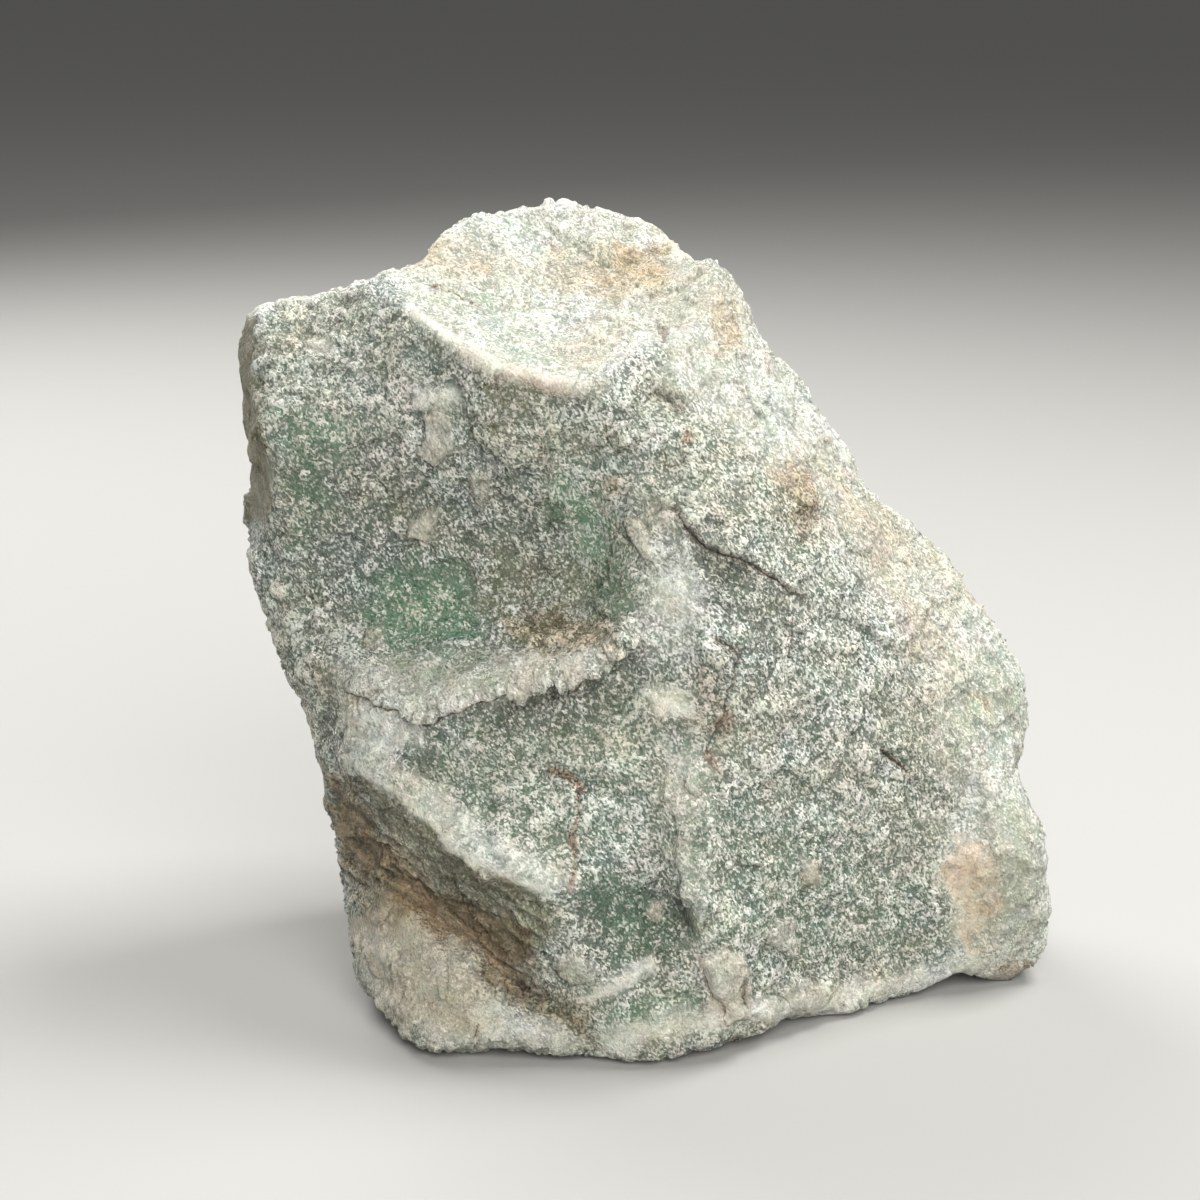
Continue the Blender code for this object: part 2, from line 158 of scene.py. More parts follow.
def nearest_on(line: Places, flat: np.ndarray) -> tuple[np.ndarray, np.ndarray, np.ndarray]:
    """Measures places of a drawing against a line of it.

    Args:
        line: The line's corners.
        flat: Places across and up, one a row.

    Returns:
        Distances from the line; 1 to the left of its run and -1 to the right; and how far along it each
        place lies, from 0 to 1.
    """
    corners = np.array(line, float)
    runs = np.diff(corners, axis=0)
    lengths = np.hypot(runs[:, 0], runs[:, 1])
    best = np.full(len(flat), np.inf)
    side = np.ones(len(flat))
    share = np.zeros(len(flat))
    for start, run, length, before in zip(corners, runs, lengths, np.cumsum(lengths) - lengths):
        offset = flat - start
        along = np.clip(offset @ run / length**2, 0.0, 1.0)
        gap = offset - along[:, None] * run
        distance = np.hypot(gap[:, 0], gap[:, 1])
        closer = distance < best
        best[closer] = distance[closer]
        side[closer] = np.where((run[0] * offset[:, 1] - run[1] * offset[:, 0])[closer] < 0.0, -1.0, 1.0)
        share[closer] = (before + along[closer] * length) / lengths.sum()
    return best, side, share


def within(corners: Places, flat: np.ndarray) -> np.ndarray:
    """Tells which places of a drawing lie inside an outline.

    Args:
        corners: The outline's corners.
        flat: Places across and up, one a row.

    Returns:
        True for each place inside.
    """
    across, up = flat.T
    inside = np.zeros(len(flat), bool)
    for (x0, y0), (x1, y1) in zip(corners, corners[1:] + corners[:1]):
        if y0 != y1:
            crossed = (y0 > up) != (y1 > up)
            inside ^= crossed & (across < x0 + (up - y0) * (x1 - x0) / (y1 - y0))
    return inside


class Form(Enum):
    """What breaking leaves on a face."""

    RIDGE = "a sharp crest along a line"
    CRACK = "a narrow cut along a line"
    LEDGE = "a step along a line, high on the left of its run"
    PLATE = "an area that stands proud with a broken edge"
    SCAR = "an area where a flake came off"
    RIBS = "an area of fibres that run with the outline's first stretch"


@dataclass(frozen=True)
class Mark:
    """One mark of breaking, placed on a drawing.

    width is the half width of a crest or a cut, how far a ledge's high side runs back, the space between
    ribs, or how far in from its edge an area reaches its full height. ragged is how far its edge strays,
    and the last field how dark its seam is, from 0 to 1: brown iron in a crack, and painted shadow at the
    foot of a ledge and on the lower left of a chip.
    """

    form: Form
    line: Places
    height: float
    width: float
    ragged: float = 0.5
    dirt: float = 0.0

    @property
    def closed(self) -> bool:
        """Whether the line runs round an area."""
        return self.form in (Form.PLATE, Form.SCAR, Form.RIBS)


class Stain(Enum):
    """What lies on a place: a colour, in sRGB, or more or fewer of the white grains."""

    GREEN = "508860"
    OLIVE = "6E7350"
    SUGAR = "more white grains"
    # Fewer white grains; on the front several of its patches are painted shade
    BARE = "fewer white grains"
    BEIGE = "D6CFBD"
    GLASSY = "A9AE94"
    TAN = "C9BBA4"
    BROWN = "6B4E36"
    RUST = "B2703C"
    PEACH = "E8C59C"

    @property
    def note(self) -> str:
        """The name that its cover has on the mesh."""
        return self.name.lower()


@dataclass(frozen=True)
class Patch:
    """One stained area, placed on a drawing. With a width it is a trail along its line.

    soft is how far its edge fades and ragged how far that edge strays, in millimetres.
    """

    stain: Stain
    line: Places
    strength: float
    soft: float = 2.0
    ragged: float = 1.5
    width: float = 0.0

    @property
    def closed(self) -> bool:
        """Whether the line runs round an area."""
        return not self.width


# Outlines that a mark and a stain, or several stains, share
TALL_CHIP = ((-35.2, 37.6), (-31.2, 38.4), (-28.8, 34.4), (-29.6, 29.6), (-32.6, 27.6), (-36, 29.6),
    (-34.4, 33.2))
ROUND_CHIP = ((-36.8, 16.8), (-34.4, 18.8), (-31.8, 17.6), (-32.4, 14), (-35.2, 11.6), (-38.4, 12.6))
LEFT_CHIP = ((-47.2, -5.6), (-42.4, -5.2), (-41.8, -10), (-46.4, -10.4))
NARROW_CHIP = ((-25.2, 26), (-21.6, 27.6), (-20.8, 21.2), (-23.6, 19.2), (-26, 21.6))
SLIVER = ((5, 16.8), (7.6, 16.8), (10, 12), (11.4, 6.8), (8, 9.6), (5.6, 13.2))
PIT_CHIP = ((9.2, -60.4), (12.4, -60.8), (11.2, -64.8), (9.2, -63.2))
FOOT_CHIP = ((-8, -71), (-4.4, -69.8), (-0.4, -72.4), (-1.2, -76), (-6, -76.8), (-8.4, -74.4))
PIT_CREST = ((-3, -80.2), (2, -77), (6.8, -74.8), (10.4, -72.4))
CRACKED_LUMP = ((20.2, -72.4), (25, -68.8), (28.4, -70.4), (30.2, -77), (30.2, -84.4), (25.6, -84.4),
    (22.2, -78.4))
RUSTY_CRACK = ((-4.4, -37.2), (-4.8, -46), (-6, -58))
SQUARE_CHIP = ((40, -52), (43.2, -53.2), (44, -56), (40.4, -56.8))
FORKED_CHIP = ((32.6, -67.2), (34.4, -64.2), (39.2, -63.6), (38.4, -68), (40, -72.4), (36, -70.4))
LOW_CHIP = ((34.4, -77.6), (39.6, -75.2), (45.6, -78), (44, -81.2), (38, -81.2))
TRENCH_CREST = ((-50.6, -31.4), (-46, -34.8), (-41.4, -37.8), (-37.6, -40.4), (-35.2, -42.8),
    (-32.2, -45.4), (-28.8, -49.6), (-25.2, -51.6), (-20, -54.2), (-14.2, -57), (-10.8, -58.4))
REAR_CHIP = ((-40, 24), (-34, 26.4), (-29.6, 21.6), (-32, 16), (-38.4, 16.8))
REAR_LEFT_CHIP = ((48, 0), (54.4, 1.6), (56.8, -6), (52, -10), (47.6, -6.8))
LOBE = ((-49.6, -65), (-36, -57), (-26, -70), (-20, -78), (-24, -88), (-40, -86), (-47, -77))
BULGE = ((75.6, -38), (84, -37), (90, -50), (90.4, -68), (80, -70), (78, -60))
TRENCH_WALL = ((-49.6, -33.6), (-43.2, -37.6), (-37.2, -41.6), (-32, -47.2), (-27.6, -51.6), (-20, -55.2),
    (-13.6, -58.4), (-10, -60.8), (-9.4, -68), (-13.2, -70), (-20, -66), (-26, -60), (-32, -56),
    (-38, -49.2), (-44.8, -41.2))
TRENCH = ((-52.8, -35), (-45.6, -40), (-38, -50), (-26, -60), (-14, -68), (-11, -78), (-20, -76),
    (-30, -66), (-41, -61), (-50.8, -50))
LEFT_DIP = ((-30, 40), (-12, 44), (1.2, 40), (5.2, 28), (4, 14), (-2, 0), (-16, 4), (-32, 26))

# A small chip of the broken lip, from its left corner
LIP_CHIP = ((0, 0), (2.4, 0.2), (3, -1.4), (1.8, -2.6), (0.2, -2.2))


def lip_chip(x: float, y: float) -> Places:
    """Outlines one small chip of the broken lip.

    Args:
        x: How far across the drawing its left corner is.
        y: How far up.

    Returns:
        Its corners.
    """
    return tuple((x + across, y + up) for across, up in LIP_CHIP)


# Each form of mark and each stain under a short name, where plates and cracks have their usual dark seam:
# painted shadow for plates, brown iron for cracks
ridge, ledge, scar, ribs = (partial(Mark, form) for form in (Form.RIDGE, Form.LEDGE, Form.SCAR, Form.RIBS))
crack = partial(Mark, Form.CRACK, dirt=0.5)
plate = partial(Mark, Form.PLATE, dirt=0.4)
green, olive, sugar, bare, beige, glassy, tan, brown, rust, peach = (
    partial(Patch, stain) for stain in Stain
)

FRONT_MARKS = (
    # The sharp ridge between the top and the hollow, and the block that stands out under it
    ridge(((-44.2, 63.6), (-42.2, 60.6), (-38.4, 58.2), (-33.4, 54.4), (-30, 51.8), (-24.6, 49.4),
        (-22.4, 47.2), (-18, 45.2), (-11.4, 43.6), (-5.4, 42.4), (0.8, 43.2), (4, 48),
        (11, 49.8)), 0.7, 1.6, ragged=0.3),
    ledge(((-30.4, 49.6), (-26.8, 46.8), (-22, 44.4), (-16, 42.4), (-8.8, 40.8),
        (0, 40.8)), 0.9, 4, ragged=1.2, dirt=0.2),
    ledge(((-25.4, 46.4), (-26.6, 42), (-26.6, 38.8), (-24.8, 35.2), (-23.4, 31.6), (-22.8, 28.8)), 1.8, 6),
    crack(((-26.8, 43.2), (-26.8, 39.6), (-24.4, 34), (-23.2, 29.6)), 0.5, 0.5),
    ridge(((23, 67.6), (23, 60), (20, 54), (13.6, 49.6)), 1.2, 3),
    crack(((-35.2, 63.2), (-31.2, 62), (-27, 60), (-23.2, 58)), 0.3, 0.7),
    crack(((10.4, 42.4), (12.8, 40.4), (15.6, 38.4)), 0.7, 0.9),
    scar(((11, 53.8), (14.2, 54.4), (14.2, 50.6), (11.4, 50)), 1, 1.5),
    # Chips that stand proud in the hollow
    plate(TALL_CHIP, 1.3, 0.6, ragged=1),
    plate(ROUND_CHIP, 1.4, 0.6, ragged=1),
    plate(LEFT_CHIP, 0.8, 0.7),
    plate(((-45.6, -14.4), (-42, -13.6), (-41.2, -18), (-45, -18.8)), 0.8, 0.6),
    plate(NARROW_CHIP, 0.8, 0.7),
    plate(((-24.8, 40.4), (-20, 41.6), (-17.6, 39.2), (-19.2, 35.2), (-23.2, 36)), 0.9, 0.6),
    plate(((-52.8, 26), (-48, 27.6), (-45.6, 24.4), (-48.8, 21.2), (-52, 22.4)), 0.8, 0.6),
    plate(((-60, 4), (-55.6, 5.6), (-52.8, 2), (-56.4, -0.8)), 0.8, 0.6),
    plate(((-26, 8), (-22, 8.8), (-20.4, 5.6), (-24, 4)), 0.7, 0.6),
    plate(((0.8, 34), (4.4, 35.2), (6.8, 32), (3.6, 29.6)), 0.8, 0.6),
    plate(((12, 32), (16.8, 32.8), (18, 28.8), (14.4, 26.8)), 0.8, 0.6),
    plate(((-34, 12), (-29.6, 13.6), (-26.8, 10.8), (-29.6, 7.6), (-33.2, 8.4)), 0.9, 0.6, ragged=1.2),
    plate(((-12, 8), (-8, 9.6), (-5.2, 6.8), (-8.8, 4)), 0.7, 0.6, ragged=1.2),
    plate(((-43.2, 24), (-39.6, 25.2), (-37.6, 22), (-40.8, 20)), 0.8, 0.6, ragged=1.2),
    plate(((-0.8, 0), (3.2, 1.6), (5.6, -1.2), (2, -4)), 0.8, 0.6, ragged=1.2),
    ledge(((-64, 16), (-58, 12), (-50, 14), (-44, 9.6)), 0.8, 4, ragged=1.5),
    ledge(((-32, -2), (-24, 2), (-16, 0), (-9.6, 3.2)), 0.8, 4, ragged=1.5),
    ledge(((-60, 27.6), (-54, 30), (-47.6, 30.8), (-40.4, 32.8)), 0.9, 4, ragged=1.5),
    ledge(((-19, 26), (-12, 29.6), (-4, 30.8), (2.4, 29.6)), 0.8, 4, ragged=1.5),
    plate(SLIVER, 1.4, 0.6, ragged=1),
    ledge(((-8, 32), (-10.4, 26), (-9.6, 20), (-7.6, 16)), 0.9, 5, ragged=1.2),
    ledge(((-39.2, 32), (-40.4, 26), (-36, 20), (-39.2, 10.4)), 0.9, 5, ragged=1.5),
    # The broken lip between the hollow and the face under it, with painted shadow along the foot of the lip
    ledge(((-53.4, -15), (-51, -18), (-46, -20), (-40, -23), (-34, -24.4), (-31, -22.4), (-26, -21),
        (-21, -19.4), (-19, -18), (-17, -19), (-14, -18), (-11, -16.4), (-8, -16.8), (-4.6, -16.4),
        (-2, -14.8), (0.6, -13.4), (3.6, -10.8), (6, -9)), 1.6, 8, ragged=0.9, dirt=0.6),
    *(plate(lip_chip(*place), 0.9, 0.7, dirt=0.2) for place in (
        (-17.4, -17.4), (-12.2, -15.2), (-9, -15.8), (-5.8, -15.6), (-3, -13.8), (-0.2, -12), (2.6, -9.6)
    )),
    # The pale shoulder right of the hollow, down to the slab
    ledge(((8, -10.4), (5.2, -6), (4.4, -1.2), (8, 2), (10, 5.2)), 1, 6, ragged=1),
    ledge(((20, -8), (19.6, -12), (20, -18)), 0.5, 5),
    crack(((28, -10), (27.2, -12.4), (26, -18), (24.4, -24.2), (22.4, -28),
        (21.6, -32.4)), 0.5, 0.45, ragged=0.8, dirt=0.35),
    ledge(((13.6, -31.2), (12.8, -38), (14.4, -42.4), (15.2, -49.2), (16, -53.6), (17.4, -60),
        (20.6, -69.4)), 0.9, 5, ragged=1.3),
    crack(((14.2, -40), (15, -44.4), (15, -49.2)), 0.4, 0.5, dirt=0.3),
    plate(((16.8, -32.8), (21.2, -31.2), (22.4, -36.8), (18.8, -40), (16.4, -37.6)), 0.6, 0.6, ragged=1.4),
    scar(((16.4, -44.4), (20.4, -42.4), (21.2, -49.2), (18, -51.6)), 0.8, 1.2, ragged=1.4),
    ledge(((16, -54.4), (19.2, -53.2), (22.4, -55.6)), 0.6, 3, ragged=1.4),
    plate(((18, -59.2), (21.2, -58), (22.4, -63.2), (19.6, -65.2)), 0.6, 0.6, ragged=1.4),
    # The dark hollow left of the slab, its lip and its chips
    scar(((6.8, -58), (12, -56.8), (17.2, -59.2), (19.2, -66), (12.8, -67.2), (8, -65.6)), 1.2, 2.5),
    plate(((8, -52.4), (12.8, -53.6), (12.4, -57.6), (7.6, -57.2)), 0.6, 1),
    plate(PIT_CHIP, 0.6, 0.6),
    plate(FOOT_CHIP, 0.7, 0.7),
    ridge(PIT_CREST, 1, 2),
    # The cracked lump at the foot
    plate(CRACKED_LUMP, 1.8, 1.6, ragged=1),
    crack(((20.4, -72.6), (22.2, -78.4), (24.6, -80.8), (25.6, -84.2)), 0.7, 0.6),
    crack(((28, -77), (27.2, -79.2), (28.4, -81.6)), 0.6, 0.6),
    # Cracks
    crack(((15.2, 18.4), (17.2, 15.2), (20, 11), (23.6, 9), (27.6, 8), (30.4, 6.8), (35, 4.4),
        (40, 0.6)), 0.7, 0.45, ragged=0.8, dirt=0.55),
    scar(((18, 13.2), (23.2, 8.8), (30.8, 6), (27.6, 2.4), (20.4, 3.2)), 0.9, 2.2, ragged=1),
    crack(((55.2, -29.2), (57.6, -31.2), (60, -33.2), (61.6, -34.4)), 0.7, 0.6, dirt=0.7),
    crack(((61.6, -34.4), (66, -38.8), (70.4, -43.2)), 0.2, 0.4, dirt=0.15),
    plate(((55.6, -27.2), (59.2, -27.6), (61.6, -32), (59.2, -31.2),
        (56.8, -29.2)), 0.8, 0.6, ragged=0.8, dirt=0),
    crack(((38, -2.4), (38.4, -8), (37.6, -12.4)), 0.4, 0.5),
    crack(((23.6, -7.2), (25.2, -8.8), (27.2, -10)), 0.6, 0.6),
    crack(((-9.4, -34.6), (-6.4, -34.8), (-4, -37.2)), 0.4, 0.6),
    plate(((-10.4, -33.6), (-6.8, -34), (-4.4, -36.4), (-6.8, -37.2), (-9.6, -36)), 0.3, 0.5),
    crack(RUSTY_CRACK, 0.15, 0.4, ragged=0.8, dirt=0.15),
    crack(((-23.8, -84), (-25.4, -88.2)), 0.7, 0.5),
    # Chips and flake scars of the big right face
    plate(SQUARE_CHIP, 0.7, 0.7),
    plate(FORKED_CHIP, 1.2, 0.7, ragged=1.2),
    plate(LOW_CHIP, 1, 0.8, ragged=1.2),
    plate(((28, -50), (30.4, -47.6), (33.6, -49.2), (32.8, -53.2), (29.2, -53.6)), 0.5, 0.6, ragged=1.2),
    ledge(((47.6, -56), (50, -61), (48.4, -68), (51.2, -73)), 0.6, 4, ragged=1.6),
    ledge(((60, -56), (63.6, -62), (62, -70)), 0.6, 4, ragged=1.6),
    ledge(((32, -8), (29.6, -18), (31.2, -28), (28.4, -38)), 0.5, 5, ragged=1.6),
    scar(((40, -69), (52, -67), (54, -75), (44, -77)), 0.5, 1.5),
    scar(((66, -20), (73, -18), (75, -26), (68, -29)), 0.6, 2),
    ridge(((52.4, 20), (54, 12), (56, 4), (61, -4)), 0.7, 2.5),
    ledge(((41.2, 26), (40.4, 20), (41.2, 12)), 1, 6),
    crack(((83.6, -33.2), (80, -33.6), (77, -32.8)), 0.4, 0.9, dirt=0.3),
    ledge(((78, -40), (76.8, -46), (79.2, -52.4), (77.2, -60), (78.8, -68)), 0.9, 4, ragged=1.6, dirt=0.2),
    ledge(((82.4, -50), (86, -54.8), (84.4, -61), (88, -66)), 0.8, 4, ragged=1.6),
    scar(((68.8, -50), (73.6, -48), (75.6, -54.4), (72.4, -59.2), (69.2, -56)), 0.7, 1.4, ragged=1.6),
    # The crest over the trench, the trench's fibres and slots, and the lobe under it
    ridge(TRENCH_CREST, 0.5, 1.4, ragged=0.3),
    ledge(((-49.6, -40), (-45.6, -46.4), (-41.6, -53.2), (-34, -61), (-26, -70),
        (-16.8, -80.8)), 0.8, 6, ragged=2, dirt=0.3),
    ribs(((-52, -34), (-11, -61), (-8, -82), (-18, -80), (-26, -69), (-40, -61), (-51.6, -56)), 0.6, 1.1),
    crack(((-29.6, -54.4), (-27.6, -58.4), (-25.2, -63.6)), 0.9, 0.9),
    crack(((-24, -64.4), (-21.2, -67.6)), 0.7, 0.8),
    crack(((-42.8, -47.6), (-40.8, -51.2), (-38.8, -56)), 0.8, 1),
    scar(((-17.6, -73.6), (-14, -76.4), (-12.8, -81.2), (-16.8, -80)), 0.8, 1.6),
    ledge(((-46.8, -66), (-43, -63.4), (-39.8, -59.2), (-37.2, -54.2), (-32, -56),
        (-27.6, -62)), 1.2, 6, ragged=1.6, dirt=0.3),
    plate(((-41, -72), (-32, -68), (-26, -73), (-29, -80), (-38, -80)), 0.7, 1, ragged=2, dirt=0.2),
    ledge(((-45.6, -80), (-38, -83.6), (-30, -82), (-22, -86)), 0.7, 4, ragged=1.6),
    crack(((-32.8, -66), (-29.6, -73.6), (-30.4, -82)), 0.4, 0.6, dirt=0.3),
    plate(((-46.4, -70), (-42, -67.6), (-39.6, -71.2), (-42.4, -75.6),
        (-46, -74.4)), 0.9, 0.8, ragged=1.5, dirt=0.2),
    scar(((-24, -78), (-17.6, -80), (-16, -86), (-22.4, -86.8)), 0.8, 1.2, ragged=1.5),
    ledge(((-41.6, -86), (-36, -88), (-26, -86), (-16, -88.8)), 0.7, 3, ragged=1.6),
    # Ribs along the upper right edge
    ribs(((29, 54), (50, 26), (40, 24), (28, 40)), 0.35, 1.2),
)

# The back: a long broken lip, a crest down the middle, a flake scar and cracks
BACK_MARKS = (
    ledge(((-10.4, 8), (-5, 13.6), (4, 16), (13.6, 14.4), (20, 18.4), (29.6, 17.6), (40, 22), (50.4, 20.4),
        (61, 24.4), (70, 23.2)), 1.6, 9, ragged=1.8),
    ridge(((-29.6, 54), (-22.8, 40), (-24, 26), (-17.6, 8), (-20, -8), (-26, -24),
        (-22.4, -40)), 1, 3, ragged=2),
    ridge(((-20, -44), (-16, -56), (-19.2, -68), (-16.8, -80)), 0.8, 3, ragged=2),
    ledge(((-82, -32), (-72, -28.4), (-62, -31.2), (-51, -26), (-40, -28.4), (-30, -23.6),
        (-21.6, -24.8)), 1.2, 8, ragged=1.8),
    ledge(((-16, -60), (-4, -56.8), (8, -60), (20, -56), (34, -59.2), (48, -54.4)), 1.2, 8, ragged=1.8),
    ledge(((20, 54), (18, 44), (21, 34), (18, 22)), 1, 7, ragged=1.5),
    scar(((-8, 0), (4, 4), (18, 0.8), (24, -10), (18, -24), (4, -27), (-7, -18)), 1.3, 4, ragged=1.5),
    scar(((-72, -40), (-60, -38), (-50, -46), (-52, -58), (-66, -60), (-73.6, -50)), 1.1, 3, ragged=1.5),
    scar(((-8, 52), (2, 54), (8, 46), (4, 36), (-6, 38)), 0.9, 3, ragged=1.5),
    crack(((-60, 8), (-54, 2), (-49.6, -8), (-40, -13.6), (-35.6, -22)), 0.8, 0.6),
    crack(((28, -4), (32, -16), (29.6, -26), (38, -40), (40, -50)), 0.7, 0.6),
    crack(((4, -66), (10, -74), (20, -78), (26, -86)), 0.6, 0.6),
    plate(REAR_CHIP, 0.9, 0.8, ragged=1),
    plate(((-44, -56), (-36, -53.6), (-32, -60), (-36, -66), (-42.4, -64)), 0.8, 0.8, ragged=1),
    plate(REAR_LEFT_CHIP, 0.8, 0.8, ragged=1),
    ribs(((32, -66), (50, -60), (50, -80), (28, -82)), 0.5, 1.4),
)

LEFT_MARKS = (
    ledge(((-52, 8), (-40, 10.4), (-30, 6.8), (-18, 10.4), (-8, 8), (6, 12)), 1.3, 8, ragged=1.8),
    ridge(((-41, 54), (-38, 36), (-40, 20), (-37.6, 0), (-36, -20), (-38, -40),
        (-34, -60)), 1, 3, ragged=0.8),
    ledge(((-36, -40), (-26, -37.2), (-16, -41.2), (-6, -38), (4, -40)), 1.1, 7, ragged=1.8),
    scar(((-40, 36), (-30, 38), (-22, 30), (-24, 18), (-34, 16), (-42, 24)), 1.1, 3, ragged=1.5),
    crack(((-24, -4), (-20, -14), (-12, -20), (-8.8, -32)), 0.7, 0.6),
    plate(((-16, 0), (-9.6, 2), (-6.8, -4), (-12, -8)), 0.8, 0.8, ragged=1),
)

RIGHT_MARKS = (
    ridge(((20, 62), (23.2, 40), (19.6, 20), (21.6, -4), (18, -20)), 0.9, 3, ragged=2),
    ridge(((22.4, -36), (19.6, -52), (23.2, -72)), 0.9, 3, ragged=2),
    ledge(((26, 26), (34, 29.6), (42, 26), (52, 30)), 1.3, 7, ragged=1.8),
    ledge(((-8, -24), (2, -20.8), (10, -24), (18, -20.8)), 0.9, 6, ragged=1.8),
    ledge(((24, -32), (32, -28.8), (42, -32), (54, -28)), 1.2, 7, ragged=1.8),
    scar(((26, 8), (36, 10), (46, 2), (44, -10), (30, -12)), 1.1, 3, ragged=1.5),
    crack(((32, -44), (38, -52), (40, -64), (48, -72)), 0.7, 0.6),
    plate(((-2, 34), (4.4, 36), (8, 30.8), (2.4, 27.6)), 0.8, 0.8, ragged=1),
)

MARKS = {Side.FRONT: FRONT_MARKS, Side.BACK: BACK_MARKS, Side.LEFT: LEFT_MARKS, Side.RIGHT: RIGHT_MARKS}

